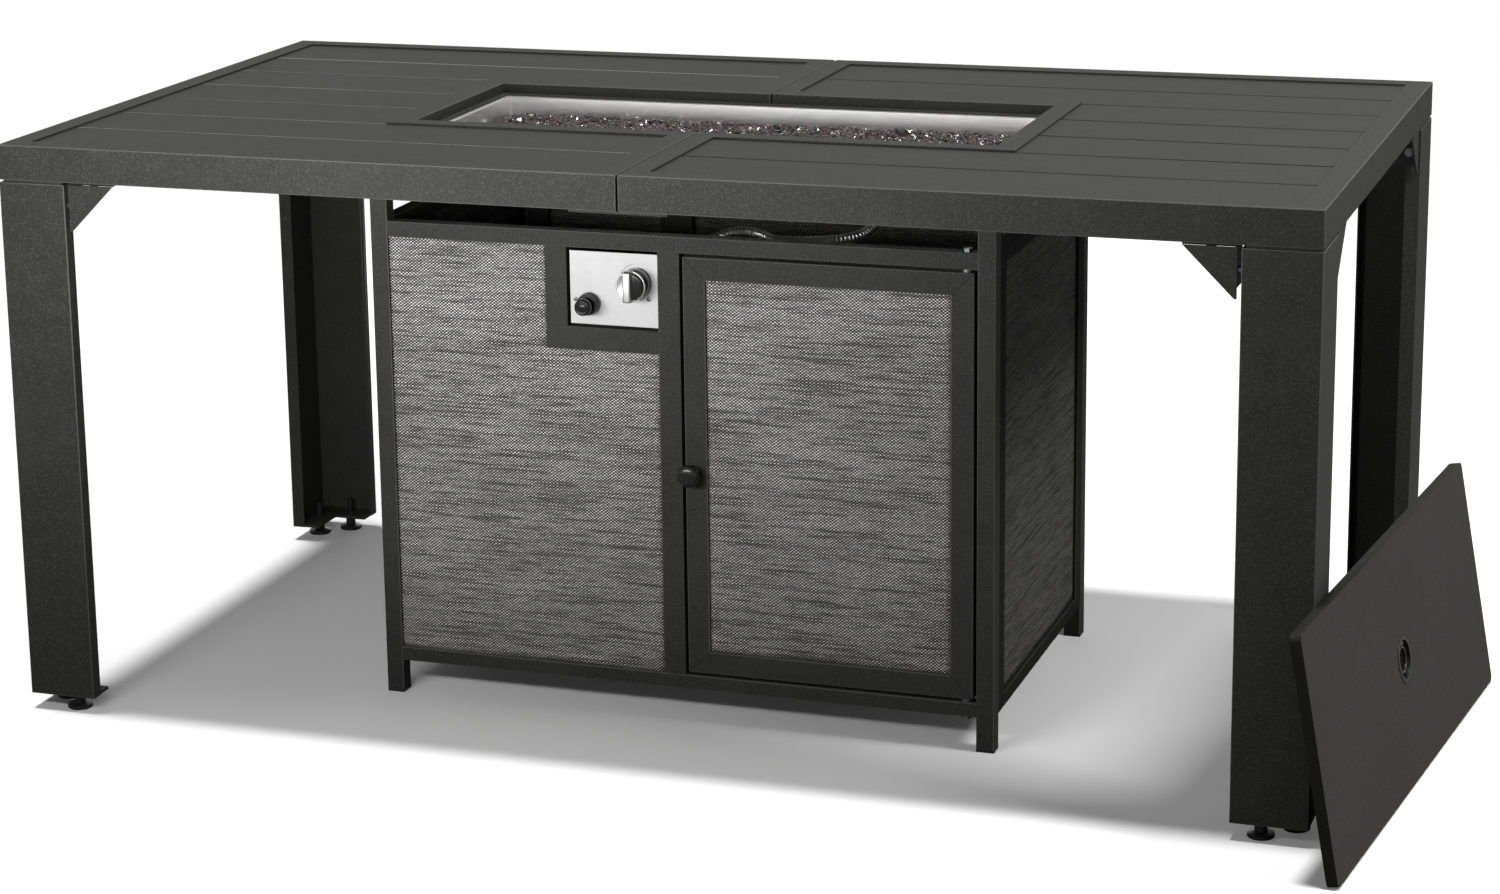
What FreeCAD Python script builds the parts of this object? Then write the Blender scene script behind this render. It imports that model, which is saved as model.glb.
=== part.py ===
# Fire pit table: a long steel table whose two-part top carries a gas burner in its middle,
# over a cabinet with woven panels that hides the gas bottle.
# Millimetres. Origin on the floor under the middle of the table, +X along its length,
# +Y from the front (door side) to the rear, +Z up.
import FreeCAD, Part
import math
import os
import re
import Sketcher
from FreeCAD import Placement, Rotation, Vector

SIZES = (
    ("TableLength", 1600, "top, end to end"),
    ("TableDepth", 860, "top, front to rear"),
    ("TableHeight", 720, "floor to the rims of the top"),
    ("ApronHeight", 43, "height of the folded apron"),
    ("RimWidth", 30, "flat rim round the edge of the top"),
    ("RimGauge", 2.5, "sheet of the top's channels"),
    ("BottomLip", 22, "inward lip under the channels"),
    ("SeamRail", 28, "rail on each side of the seam"),
    ("SeamGap", 2.5, "seam between the halves"),
    ("OpeningLength", 744, "burner opening along X"),
    ("OpeningDepth", 288, "burner opening along Y"),
    ("BurnerRail", 28, "rail round the burner opening"),
    ("PanelThick", 4, "slat panel"),
    ("PanelTuck", 12, "panel edge under the rims"),
    ("GrooveWidth", 4, "groove between slats"),
    ("GrooveDepth", 1.8, "depth of a groove"),
    ("StiffenerWidth", 25, "channel under a panel"),
    ("StiffenerDepth", 20, "height of that channel"),
    ("StiffenerWall", 2, "its sheet"),
    ("StiffenerNear", 430, "channel beside the burner, from the middle"),
    ("StiffenerFar", 610, "channel under the end of the top, from the middle"),
    ("SeamPlateLength", 120, "joining plate across the seam"),
    ("PlateGauge", 3, "joining plate"),
    ("LegWidth", 88, "leg seen from the front"),
    ("LegSide", 100, "leg seen from the end"),
    ("LegGauge", 2.5, "sheet of a leg"),
    ("LegLip", 18, "returned lip of a leg"),
    ("LegShadow", 3, "dark gap under the apron"),
    ("LegPlate", 4, "plates inside a leg, top and bottom"),
    ("PlateInset", 4, "top plate inside the outer faces"),
    ("PlateArm", 40, "width of the arms of these plates"),
    ("LegBolt", 62, "bolt of a leg from its corner"),
    ("FootHeight", 20, "floor to the bottom of a leg"),
    ("FootRadius", 15.5, "glide of a levelling foot"),
    ("FootPad", 7, "height of the glide"),
    ("FootNut", 13, "width of its hexagon across flats"),
    ("StudRadius", 4, "threaded stud of a foot"),
    ("StudLength", 46, "floor to the tip of the stud"),
    ("FootAlong", 56, "foot from the corner, along its side"),
    ("FootAcross", 22, "foot from the outer face"),
    ("GussetReach", 60, "gusset along the apron"),
    ("GussetDrop", 60, "gusset down the leg"),
    ("GussetGap", 5, "gap from gusset to leg"),
    ("GussetGauge", 2.5, "sheet of a gusset"),
    ("GussetFlange", 30, "folded edges of a gusset"),
    ("GussetBolt", 8, "bolt of a folded edge from the web"),
    ("GussetSetback", 2, "gusset behind the face of the apron"),
    ("BoltRadius", 3, "hex bolts"),
    ("BoltHead", 10, "hexagon across flats"),
    ("HeadHeight", 4, "bolt head"),
    ("NutHeight", 5, "nut"),
    ("BoltClear", 0.3, "round a bolt in its hole"),
    ("NutClear", 0.1, "round a bolt in its nut"),
    ("BoltPast", 2, "bolt beyond its nut"),
    ("ScrewRadius", 1.5, "small screws"),
    ("ScrewHead", 2.6, "radius of a small screw head"),
    ("ScrewHeadHeight", 1.6, "small screw head"),
    ("RunClear", 0.05, "running fit of pins and spindles"),
    ("CabinetLength", 790, "cabinet along X"),
    ("CabinetDepth", 480, "cabinet along Y"),
    ("CabinetTop", 610, "top of the top rails"),
    ("CabinetFloor", 43, "underside of the bottom rails"),
    ("PostSize", 22, "square post"),
    ("TubeWall", 1.5, "wall of the cabinet's tubes"),
    ("PlugHeight", 3, "foot of a post's plug"),
    ("PlugInsert", 14, "plug inside the post"),
    ("PlugClear", 0.2, "plug inside the post"),
    ("FrameThick", 18, "rails, stiles and door, front to back"),
    ("TopRail", 20, "height of the top rails"),
    ("BottomRail", 18, "height of the bottom rails"),
    ("StileWidth", 28, "upright members"),
    ("RearStile", 44, "middle stile of the rear panel"),
    ("RearStileX", -160, "middle stile of the rear panel, from the cabinet's middle"),
    ("MidStile", -7.5, "middle of the front stile"),
    ("WeepHole", 2, "radius of the drain holes of closed tubes"),
    ("FabricThick", 1.2, "woven panels"),
    ("FabricSetback", 4, "woven panels behind the frame's face"),
    ("SurroundLeft", -166, "outer edge of the control surround"),
    ("SurroundBottom", 464, "lower edge of the control surround"),
    ("SurroundMember", 28, "members of the surround"),
    ("ControlGap", 4, "dark gap round the control plate"),
    ("ControlGauge", 1.5, "control plate"),
    ("ControlSetback", 2, "control plate behind the frame's face"),
    ("BracketGauge", 2, "valve bracket"),
    ("BracketInset", 4, "bracket inside the control plate"),
    ("PlateScrewLow", 30, "left plate screw above the plate's foot"),
    ("PlateScrewHigh", 35, "right plate screw above the plate's foot"),
    ("BracketFlange", 22, "bracket behind the stiles"),
    ("KnobX", -48, "gas knob"),
    ("KnobZ", 551, "gas knob"),
    ("KnobRadius", 19, "skirt of the gas knob"),
    ("KnobSkirt", 19, "height of the skirt"),
    ("KnobGrip", 11, "grip above the skirt"),
    ("GripWidth", 12, "thickness of the grip"),
    ("KnobGap", 4.5, "knob to plate"),
    ("KnobPush", 3.5, "travel of the knob"),
    ("SpindleRadius", 4, "valve spindle"),
    ("SpindleReach", 9, "spindle inside the knob"),
    ("ButtonX", -109, "igniter"),
    ("ButtonZ", 522, "igniter"),
    ("IgniterRadius", 11, "igniter body"),
    ("IgniterCollar", 13, "radius of its collar"),
    ("CollarHeight", 12, "collar in front of the plate"),
    ("IgniterLength", 42, "igniter behind the plate"),
    ("ButtonRadius", 10.5, "cap of the button"),
    ("ButtonCap", 11, "height of the cap"),
    ("ButtonTravel", 5, "press of the button"),
    ("ButtonSpare", 1, "gap left when pressed"),
    ("ButtonStem", 7, "radius of the stem"),
    ("ButtonReach", 19, "stem inside the body"),
    ("ValveWidth", 30, "valve body across"),
    ("ValveDeep", 34, "valve body front to back"),
    ("ValveTall", 34, "valve body"),
    ("ValveNeck", 9, "radius of the neck"),
    ("ValveStandoff", 12, "neck between bracket and body"),
    ("InletRadius", 7.95, "gas inlet spigot"),
    ("InletLength", 20, "gas inlet spigot"),
    ("OutletLength", 10, "gas outlet spigot"),
    ("DoorGap", 4, "gap round the door"),
    ("DoorTop", 28, "top and bottom members of the door"),
    ("PivotInset", 10, "pivot from the door's edge"),
    ("PivotRadius", 3, "pivot pins"),
    ("PivotDepth", 20, "pin inside the door"),
    ("PivotBush", 6, "radius of the door's bushes"),
    ("WasherRadius", 7, "nylon washer on a pivot"),
    ("WasherPlay", 0.3, "door to washer, and washer to pin"),
    ("DoorKnobX", 20, "door knob"),
    ("DoorKnobZ", 320, "door knob"),
    ("DoorKnobRadius", 14, "door knob"),
    ("DoorKnobReach", 25, "door knob"),
    ("CatchZ", 440, "magnetic catch"),
    ("CatchHeight", 40, "magnetic catch"),
    ("CatchDepth", 12, "magnetic catch"),
    ("CatchLap", 20, "catch behind the door"),
    ("StrikerGauge", 1.2, "steel striker on the door"),
    ("CatchAir", 0.3, "striker to magnet"),
    ("LidDepth", 13, "folded rim of the lid, and its ledge"),
    ("LidGauge", 1.5, "sheet of the lid"),
    ("LidClear", 2, "lid to opening, each side"),
    ("LidLean", 10, "degrees from upright"),
    ("LidYaw", 6, "degrees from the table's end"),
    ("LidNearEnd", -540, "near lower corner of the lid, along Y"),
    ("LeanGap", 0.3, "lid to leg"),
    ("CupRadius", 24, "well of the lid's ring pull"),
    ("CupFlange", 3, "its flange"),
    ("CupDepth", 9, "its depth"),
    ("CupGauge", 1, "its sheet"),
    ("RingRadius", 15, "ring pull, to the middle of its wire"),
    ("RingWire", 2, "radius of its wire"),
    ("RingStand", 3.6, "wire to pin"),
    ("KnuckleLength", 10, "eye of the ring"),
    ("KnuckleRadius", 3.2, "eye of the ring"),
    ("RingPin", 1.6, "pin through the eye"),
    ("CollarClear", 0.5, "burner collar inside the opening"),
    ("CollarGauge", 2, "burner collar"),
    ("LedgeWidth", 8, "ledge of the collar"),
    ("CollarFlange", 14, "collar under the top's lip"),
    ("PanStep", 6, "pan wall inside the ledge"),
    ("PanGauge", 1.5, "burner pan"),
    ("PanFlange", 12, "flange of the pan"),
    ("PanBottom", 645, "underside of the pan above the floor"),
    ("GlassTop", 690, "top of the fire glass above the floor"),
    ("BurnerLength", 560, "burner tube"),
    ("BurnerRadius", 11, "burner tube"),
    ("BurnerLift", 5, "burner tube above the pan"),
    ("BurnerWall", 1, "burner tube"),
    ("PortRadius", 1.2, "flame ports"),
    ("PortPitch", 20, "flame ports"),
    ("SaddleX", 230, "burner supports from the middle"),
    ("FeedX", 200, "gas feed of the burner"),
    ("FeedRadius", 8, "feed nipple"),
    ("FeedDrop", 8, "nipple below the pan"),
    ("MixerRadius", 12, "air mixer"),
    ("MixerLength", 24, "air mixer"),
    ("MixerBlock", 22, "orifice elbow, along each side"),
    ("MixerWindow", 4, "half height of its air windows"),
    ("SpigotRadius", 6.5, "hose spigots"),
    ("SpigotLength", 6, "hose spigots"),
    ("SensorX", 62, "ignition bracket"),
    ("SensorY", -36, "ignition bracket"),
    ("SensorHalf", 15, "half width of the bracket"),
    ("SensorRadius", 2.5, "electrode and thermocouple"),
    ("SensorPitch", 7, "either of them from the middle"),
    ("SensorTop", 694, "their tips above the floor"),
    ("SensorBelow", 14, "their ends below the pan"),
    ("HoseRadius", 6.3, "hose over its ribs"),
    ("HoseRoot", 5.2, "hose between its ribs"),
    ("HoseBore", 3.8, "bore of the hose"),
    ("HosePitch", 5, "rib to rib"),
    ("LeadRadius", 1.4, "igniter wire and thermocouple lead"),
)

doc = FreeCAD.newDocument("FirePitTable")
sheet = doc.addObject("Spreadsheet::Sheet", "Sizes")
for row, (alias, number, note) in enumerate(SIZES, start=1):
    sheet.set("A%d" % row, alias)
    sheet.set("B%d" % row, str(number))
    sheet.set("C%d" % row, note)
    sheet.setAlias("B%d" % row, alias)
doc.recompute()

ALIAS = re.compile(r"\b[A-Z][A-Za-z]+\b")
NODES = []

# Heights and edges that several pieces share, as expressions of the sizes.
UNDER_TOP = "TableHeight - ApronHeight"
PANEL_TOP = "TableHeight - RimGauge"
PANEL_UNDER = "TableHeight - RimGauge - PanelThick"
LIP_TOP = "TableHeight - ApronHeight + RimGauge"
LEDGE_TOP = "TableHeight - LidDepth"
LEDGE_UNDER = "TableHeight - LidDepth - CollarGauge"
FRONT = "-CabinetDepth / 2"
POST_IN = "CabinetLength / 2 - PostSize"
STILE_LEFT = "MidStile - StileWidth / 2"
STILE_RIGHT = "MidStile + StileWidth / 2"
WINDOW_FOOT = "CabinetFloor + BottomRail"
WINDOW_HEAD = "CabinetTop - TopRail"
PLATE_FACE = "-CabinetDepth / 2 + ControlSetback"
PLATE_BACK = "-CabinetDepth / 2 + ControlSetback + ControlGauge"
BRACKET_BACK = "-CabinetDepth / 2 + ControlSetback + ControlGauge + BracketGauge"
FRAME_BACK = "-CabinetDepth / 2 + FrameThick"
VALVE_FRONT = "-CabinetDepth / 2 + ControlSetback + ControlGauge + BracketGauge + ValveStandoff"
DOOR_LEFT = "MidStile + StileWidth / 2 + DoorGap"
DOOR_RIGHT = "CabinetLength / 2 - PostSize - DoorGap"
SEAM_BOLTS = ("TableDepth / 2 - BottomLip - BoltHead", "OpeningDepth / 2 + BottomLip + BoltHead")
PIVOT_X = "CabinetLength / 2 - PostSize - DoorGap - PivotInset"
PIVOT_Y = "-CabinetDepth / 2 + FrameThick / 2"
PAN_X = "OpeningLength / 2 - CollarClear - CollarGauge - LedgeWidth - PanStep"
PAN_Y = "OpeningDepth / 2 - CollarClear - CollarGauge - LedgeWidth - PanStep"
PAN_FLOOR = "PanBottom + PanGauge"
BURNER_AXIS = "PanBottom + PanGauge + BurnerLift + BurnerRadius"


def size(alias):
    """The number in one cell of the sheet."""
    return float(sheet.get(alias))


def ex(text):
    """An expression with the sheet's name before each size."""
    return ALIAS.sub(lambda word: "Sizes." + word.group(), str(text))


def node(label, solid):
    """Names a finished piece and keeps it for export."""
    solid.Label = label
    NODES.append(solid)
    return solid


def flip(side, span):
    """A span on the right of the middle, or its mirror image on the left."""
    return span if side > 0 else ("-(%s)" % span[1], "-(%s)" % span[0])


def about(centre, half):
    """A span of a half width each side of a centre."""
    return "(%s) - (%s)" % (centre, half), "(%s) + (%s)" % (centre, half)


def grow(span, by):
    """A span made longer at both ends."""
    return "(%s) - (%s)" % (span[0], by), "(%s) + (%s)" % (span[1], by)


def locate(solid, x, y, z):
    """Binds the place of a piece."""
    for axis, text in (("x", x), ("y", y), ("z", z)):
        solid.setExpression("Placement.Base." + axis, ex(text))


def block(name, xs, ys, zs):
    """A box between three pairs of expressions."""
    solid = doc.addObject("Part::Box", name)
    for side, (low, high) in (("Length", xs), ("Width", ys), ("Height", zs)):
        solid.setExpression(side, ex("(%s) - (%s)" % (high, low)))
    locate(solid, xs[0], ys[0], zs[0])
    return solid


TURN = {"z": Rotation(), "x": Rotation(Vector(0, 1, 0), 90), "y": Rotation(Vector(1, 0, 0), -90)}


def rod(name, radius, length, start, axis="z"):
    """A cylinder from its start along an axis."""
    solid = doc.addObject("Part::Cylinder", name)
    solid.Placement = Placement(Vector(), TURN[axis])
    solid.setExpression("Radius", ex(radius))
    solid.setExpression("Height", ex(length))
    locate(solid, *start)
    return solid


def hexagon(name, across, height, start, axis="z"):
    """A hexagonal prism of a width across its flats."""
    solid = doc.addObject("Part::Prism", name)
    solid.Polygon = 6
    solid.Placement = Placement(Vector(), TURN[axis])
    solid.setExpression("Circumradius", ex("(%s) / 2 / cos(30)" % across))
    solid.setExpression("Height", ex(height))
    locate(solid, *start)
    return solid


def weld(name, parts):
    """Pieces joined into one solid."""
    solid = doc.addObject("Part::MultiFuse", name)
    solid.Shapes = parts
    solid.Refine = True
    return solid


def cut(name, base, *tools):
    """A solid less one or more tools."""
    solid = doc.addObject("Part::Cut", name)
    solid.Base = base
    solid.Tool = tools[0] if len(tools) == 1 else weld(name + "_tools", list(tools))
    return solid


def group(name, parts):
    """Separate solids kept together."""
    solid = doc.addObject("Part::Compound", name)
    solid.Links = parts
    return solid


def mirror(name, source, normal):
    """The mirror image of a piece in a plane through the origin."""
    solid = doc.addObject("Part::Mirroring", name)
    solid.Source = source
    solid.Base = Vector()
    solid.Normal = normal
    return solid


def body(name, x="0", y="0", z="0"):
    """An empty body at a bound place."""
    made = doc.addObject("PartDesign::Body", name)
    locate(made, x, y, z)
    return made


def sketch_on(owner, role, name, offset="0"):
    """A sketch on one of a body's own origin planes."""
    plane = [item for item in owner.Origin.OriginFeatures if item.Role == role][0]
    drawing = owner.newObject("Sketcher::SketchObject", name)
    drawing.AttachmentSupport = [(plane, "")]
    drawing.MapMode = "FlatFace"
    drawing.setExpression("AttachmentOffset.Base.z", ex(offset))
    return drawing


def hold(drawing, item, point, x, y):
    """Fixes a point of a sketch at bound distances from its origin."""
    for kind, text in (("DistanceX", x), ("DistanceY", y)):
        number = drawing.addConstraint(Sketcher.Constraint(kind, -1, 1, item, point, 1.0))
        label = "%s_%d_%d" % (kind, item, point)
        drawing.renameConstraint(number, label)
        drawing.setExpression("Constraints." + label, ex(text))


def polygon(drawing, points):
    """A closed outline with straight sides, each corner held by two sizes."""
    first = drawing.GeometryCount
    count = len(points)
    spread = [Vector(math.cos(2 * math.pi * i / count), math.sin(2 * math.pi * i / count), 0)
              for i in range(count)]
    for i in range(count):
        drawing.addGeometry(Part.LineSegment(spread[i] * 50, spread[(i + 1) % count] * 50), False)
    for i in range(count):
        drawing.addConstraint(
            Sketcher.Constraint("Coincident", first + i, 2, first + (i + 1) % count, 1))
    for i, (x, y) in enumerate(points):
        hold(drawing, first + i, 1, x, y)


def circle(drawing, x, y, radius):
    """A circle held at its centre."""
    item = drawing.addGeometry(Part.Circle(Vector(5, 5, 0), Vector(0, 0, 1), 2), False)
    hold(drawing, item, 3, x, y)
    number = drawing.addConstraint(Sketcher.Constraint("Radius", item, 2.0))
    drawing.renameConstraint(number, "radius_%d" % item)
    drawing.setExpression("Constraints.radius_%d" % item, ex(radius))


def pad(owner, drawing, length, reverse=False):
    """A pad of a sketch."""
    feature = owner.newObject("PartDesign::Pad", drawing.Name + "_pad")
    feature.Profile = drawing
    feature.Reversed = reverse
    feature.setExpression("Length", ex(length))
    return feature


def turned(name, points, place, role="XZ_Plane"):
    """A turned piece: its outline spins about the upright axis of its sketch."""
    owner = body(name, *place)
    drawing = sketch_on(owner, role, name + "_outline")
    polygon(drawing, points)
    feature = owner.newObject("PartDesign::Revolution", name + "_turned")
    feature.Profile = drawing
    feature.ReferenceAxis = (drawing, ["V_Axis"])
    feature.Angle = 360
    return owner


def bolt(name, start, length, axis="z", sense=1):
    """A hex bolt: its head's underside is at the start, its shank runs along the axis."""
    axes = {"x": 0, "y": 1, "z": 2}
    head = list(start)
    shank = list(start)
    if sense > 0:
        head[axes[axis]] = "(%s) - HeadHeight" % start[axes[axis]]
    else:
        shank[axes[axis]] = "(%s) - (%s)" % (start[axes[axis]], length)
    return weld(name, [hexagon(name + "_head", "BoltHead", "HeadHeight", head, axis),
                       rod(name + "_shank", "BoltRadius", length, shank, axis)])


def nut(name, start, axis="z"):
    """A hex nut that begins at the start."""
    return cut(name, hexagon(name + "_blank", "BoltHead", "NutHeight", start, axis),
               rod(name + "_bore", "BoltRadius + NutClear", "NutHeight", start, axis))


def half_region(name, edge, seam, mouth, zs):
    """A slab over the right half of the top, set in from its edge, its seam and its opening."""
    slab = block(name + "_slab", ("SeamGap / 2 + %s" % seam, "TableLength / 2 - (%s)" % edge),
                 about("0", "TableDepth / 2 - (%s)" % edge), zs)
    hole = block(name + "_hole", ("-5", "OpeningLength / 2 + %s" % mouth),
                 about("0", "OpeningDepth / 2 + %s" % mouth), grow(zs, "5"))
    return cut(name, slab, hole)


def ring(name, half_x, half_y, inner_x, inner_y, zs):
    """A rectangular ring round the middle."""
    return cut(name, block(name + "_outer", about("0", half_x), about("0", half_y), zs),
               block(name + "_inner", about("0", inner_x), about("0", inner_y), grow(zs, "5")))


def facing(face, along, through, zs):
    """Spans in X, Y, Z of something that faces the front or an end."""
    return (along, through, zs) if face == "front" else (through, along, zs)


def tube_frame(name, face, along, through, zs, windows, opening_zs):
    """A closed frame of welded tube with one or more windows and a drain hole."""
    outer = block(name + "_outer", *facing(face, along, through, zs))
    hollow = block(name + "_hollow", *facing(
        face, grow(along, "-TubeWall"), grow(through, "-TubeWall"), grow(zs, "-TubeWall")))
    panes = []
    cores = []
    for i, window in enumerate(windows):
        panes.append(block("%s_pane%d" % (name, i),
                           *facing(face, window, grow(through, "5"), opening_zs)))
        cores.append(block("%s_core%d" % (name, i), *facing(
            face, grow(window, "TubeWall"), grow(through, "5"), grow(opening_zs, "TubeWall"))))
    drain_x, drain_y, _ = facing(face, "(%s) + StileWidth / 2" % along[0],
                                 "((%s) + (%s)) / 2" % through, "0")
    drain = rod(name + "_drain", "WeepHole", "2 * TubeWall",
                (drain_x, drain_y, "(%s) - TubeWall" % zs[0]))
    return cut(name + "_ring", cut(name + "_solid", outer, *panes),
               cut(name + "_void", hollow, *cores), drain)


# Places of the upright bolts that hold things to the lip under the top, on the right half.
def lip_bolts():
    """(x, y, underside of the clamped piece) for each bolt through the lip, right half."""
    lip = "BottomLip / 2 + RimGauge / 2"
    places = []
    for sense in (-1, 1):
        places.append(("TableLength / 2 - LegBolt", "%d * (TableDepth / 2 - (%s))" % (sense, lip),
                       UNDER_TOP + " - LegShadow - LegPlate"))
        places.append(("TableLength / 2 - (%s)" % lip, "%d * (TableDepth / 2 - LegBolt)" % sense,
                       UNDER_TOP + " - LegShadow - LegPlate"))
        places.append(("TableLength / 2 - LegWidth - GussetGap - GussetReach / 2",
                       "%d * (TableDepth / 2 - GussetSetback - GussetBolt - GussetGauge)" % sense,
                       UNDER_TOP + " - GussetGauge"))
        places.append(("TableLength / 2 - GussetSetback - GussetBolt - GussetGauge",
                       "%d * (TableDepth / 2 - LegSide - GussetGap - GussetReach / 2)" % sense,
                       UNDER_TOP + " - GussetGauge"))
        for y in SEAM_BOLTS:
            places.append(("SeamGap / 2 + %s" % lip, "%d * (%s)" % (sense, y),
                           UNDER_TOP + " - PlateGauge"))
    return places


def build_top():
    """Channel frames, slat panels and stiffeners of the top."""
    rims = (UNDER_TOP, "TableHeight")
    shell = half_region("top_shell", "0", "0", "0", rims)
    hollow = half_region("top_hollow", "RimGauge", "RimGauge", "RimGauge", grow(rims, "-RimGauge"))
    window = half_region("top_window", "RimWidth", "SeamRail", "BurnerRail",
                         ("TableHeight - 2 * RimGauge", "TableHeight + 5"))
    lips = half_region("lip_window", "BottomLip", "BottomLip", "BottomLip",
                       (UNDER_TOP + " - 5", UNDER_TOP + " + 2 * RimGauge"))
    holes = [rod("lip_hole%d" % i, "BoltRadius + BoltClear", "3 * RimGauge",
                 (x, y, UNDER_TOP + " - RimGauge"))
             for i, (x, y, _) in enumerate(lip_bolts())]
    right = node("top_frame_right", cut("top_frame_right_half", shell, hollow, window, lips, *holes))
    node("top_frame_left", mirror("top_frame_left_half", right, Vector(1, 0, 0)))

    slats = half_region("slat_sheet", "RimWidth - PanelTuck", "SeamRail - PanelTuck",
                        "BurnerRail - PanelTuck", (PANEL_UNDER, PANEL_TOP))
    rail_line = "(OpeningDepth / 2 + BurnerRail)"
    edge_line = "(TableDepth / 2 - RimWidth)"
    short = "OpeningLength / 2 + BurnerRail"
    whole = "SeamGap / 2 + SeamRail"
    grooves = []
    for sense in (-1, 1):
        for start, line in ((short, rail_line + " / 3"), (whole, rail_line),
                            (whole, "(%s + %s) / 2" % (rail_line, edge_line))):
            grooves.append(block("groove%d" % len(grooves), (start, "TableLength / 2 - RimWidth"),
                                 about("%d * %s" % (sense, line), "GrooveWidth / 2"),
                                 (PANEL_TOP + " - GrooveDepth", PANEL_TOP + " + 5")))
    right = node("top_panel_right", cut("top_panel_right_half", slats, *grooves))
    node("top_panel_left", mirror("top_panel_left_half", right, Vector(1, 0, 0)))

    channels = []
    for side in (-1, 1):
        for number, middle in enumerate(("StiffenerNear", "StiffenerFar")):
            xs = flip(side, about(middle, "StiffenerWidth / 2"))
            ys = about("0", "TableDepth / 2 - RimGauge")
            channels.append(channel("stiffener%d_%d" % (number, side), xs, ys,
                                    PANEL_UNDER + " - StiffenerDepth"))
        for sense in (-1, 1):
            xs = flip(side, (POST_IN, "CabinetLength / 2"))
            ys = flip(sense, ("OpeningDepth / 2 + BottomLip", "TableDepth / 2 - BottomLip"))
            name = "post_channel%d_%d" % (side, sense)
            hole = rod(name + "_hole", "BoltRadius + BoltClear", "3 * StiffenerWall",
                       post_centre(side, sense, UNDER_TOP + " - StiffenerWall"))
            channels.append(cut(name + "_drilled", channel(name, xs, ys, UNDER_TOP), hole))
    node("top_stiffeners", group("stiffener_set", channels))

    plates = []
    lip = "BottomLip / 2 + RimGauge / 2"
    for sense in (-1, 1):
        plate = block("seam_plate%d" % sense, about("0", "SeamPlateLength / 2"),
                      flip(sense, ("OpeningDepth / 2 + CollarFlange + PlateGauge",
                                   "TableDepth / 2 - PlateGauge")),
                      (UNDER_TOP + " - PlateGauge", UNDER_TOP))
        holes = [rod("seam_hole%d_%d_%d" % (sense, side, i), "BoltRadius + BoltClear",
                     "3 * PlateGauge",
                     ("%d * (SeamGap / 2 + %s)" % (side, lip), "%d * (%s)" % (sense, y),
                      UNDER_TOP + " - 2 * PlateGauge"))
                 for side in (-1, 1)
                 for i, y in enumerate(SEAM_BOLTS)]
        plates.append(cut("seam_plate_drilled%d" % sense, plate, *holes))
    node("seam_plates", group("seam_plate_set", plates))


def channel(name, xs, ys, foot):
    """A channel under a panel, open at the top, with its web at the foot."""
    return cut(name, block(name + "_blank", xs, ys, (foot, PANEL_UNDER)),
               block(name + "_trough", grow(xs, "-StiffenerWall"), grow(ys, "5"),
                     ("(%s) + StiffenerWall" % foot, PANEL_UNDER + " + 5")))


def post_centre(side, sense, z):
    """Middle of one post, at a height."""
    return ("%d * (CabinetLength / 2 - PostSize / 2)" % side,
            "%d * (CabinetDepth / 2 - PostSize / 2)" % sense, z)


def build_leg(label, side, sense):
    """A folded leg with returned lips and a plate at each end, the top one stepped in."""
    owner = body(label + "_sheet", "%d * TableLength / 2" % side, "%d * TableDepth / 2" % sense,
                 "FootHeight")

    def corner(u, w):
        return "%d * (%s)" % (-side, u), "%d * (%s)" % (-sense, w)

    profile = sketch_on(owner, "XY_Plane", label + "_profile")
    polygon(profile, [corner(u, w) for u, w in (
        ("0", "0"), ("LegWidth", "0"), ("LegWidth", "LegLip"), ("LegWidth - LegGauge", "LegLip"),
        ("LegWidth - LegGauge", "LegGauge"), ("LegGauge", "LegGauge"),
        ("LegGauge", "LegSide - LegGauge"), ("LegLip", "LegSide - LegGauge"),
        ("LegLip", "LegSide"), ("0", "LegSide"))])
    pad(owner, profile, UNDER_TOP + " - FootHeight - LegShadow")
    feet = [("FootAlong", "FootAcross"), ("FootAcross", "FootAlong")]
    bolts = [("LegBolt", "BottomLip / 2 + RimGauge / 2"), ("BottomLip / 2 + RimGauge / 2", "LegBolt")]
    top = UNDER_TOP + " - FootHeight - LegShadow"
    for name, inset, height, thick, stops in (
            ("foot", "0.5 * LegGauge", "0", "LegPlate", feet),
            ("head", "0.5 * LegGauge", top + " - LegPlate", "LegPlate", bolts),
            ("cap", "PlateInset", top, "LegShadow", bolts)):
        plate = sketch_on(owner, "XY_Plane", "%s_%s" % (label, name), height)
        polygon(plate, [corner(u, w) for u, w in (
            (inset, inset), ("LegWidth - (%s)" % inset, inset), ("LegWidth - (%s)" % inset, "PlateArm"),
            ("PlateArm", "PlateArm"), ("PlateArm", "LegSide - (%s)" % inset),
            (inset, "LegSide - (%s)" % inset))])
        radius = "StudRadius + RunClear" if name == "foot" else "BoltRadius + BoltClear"
        for u, w in stops:
            x, y = corner(u, w)
            circle(plate, x, y, radius)
        pad(owner, plate, thick)
    reach = "LegPlate + LegGauge"
    drill = "BoltRadius + BoltClear"
    height = UNDER_TOP + " - GussetDrop / 2"
    across = "GussetSetback + GussetGauge + GussetBolt"
    near = rod(label + "_hole_x", drill, reach,
               ("%d * (TableLength / 2 - LegWidth) - (%s) / 2" % (side, reach),
                "%d * (TableDepth / 2 - (%s))" % (sense, across), height), "x")
    far = rod(label + "_hole_y", drill, reach,
              ("%d * (TableLength / 2 - (%s))" % (side, across),
               "%d * (TableDepth / 2 - LegSide) - (%s) / 2" % (sense, reach), height), "y")
    node(label, cut(label + "_drilled", owner, near, far))


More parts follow.
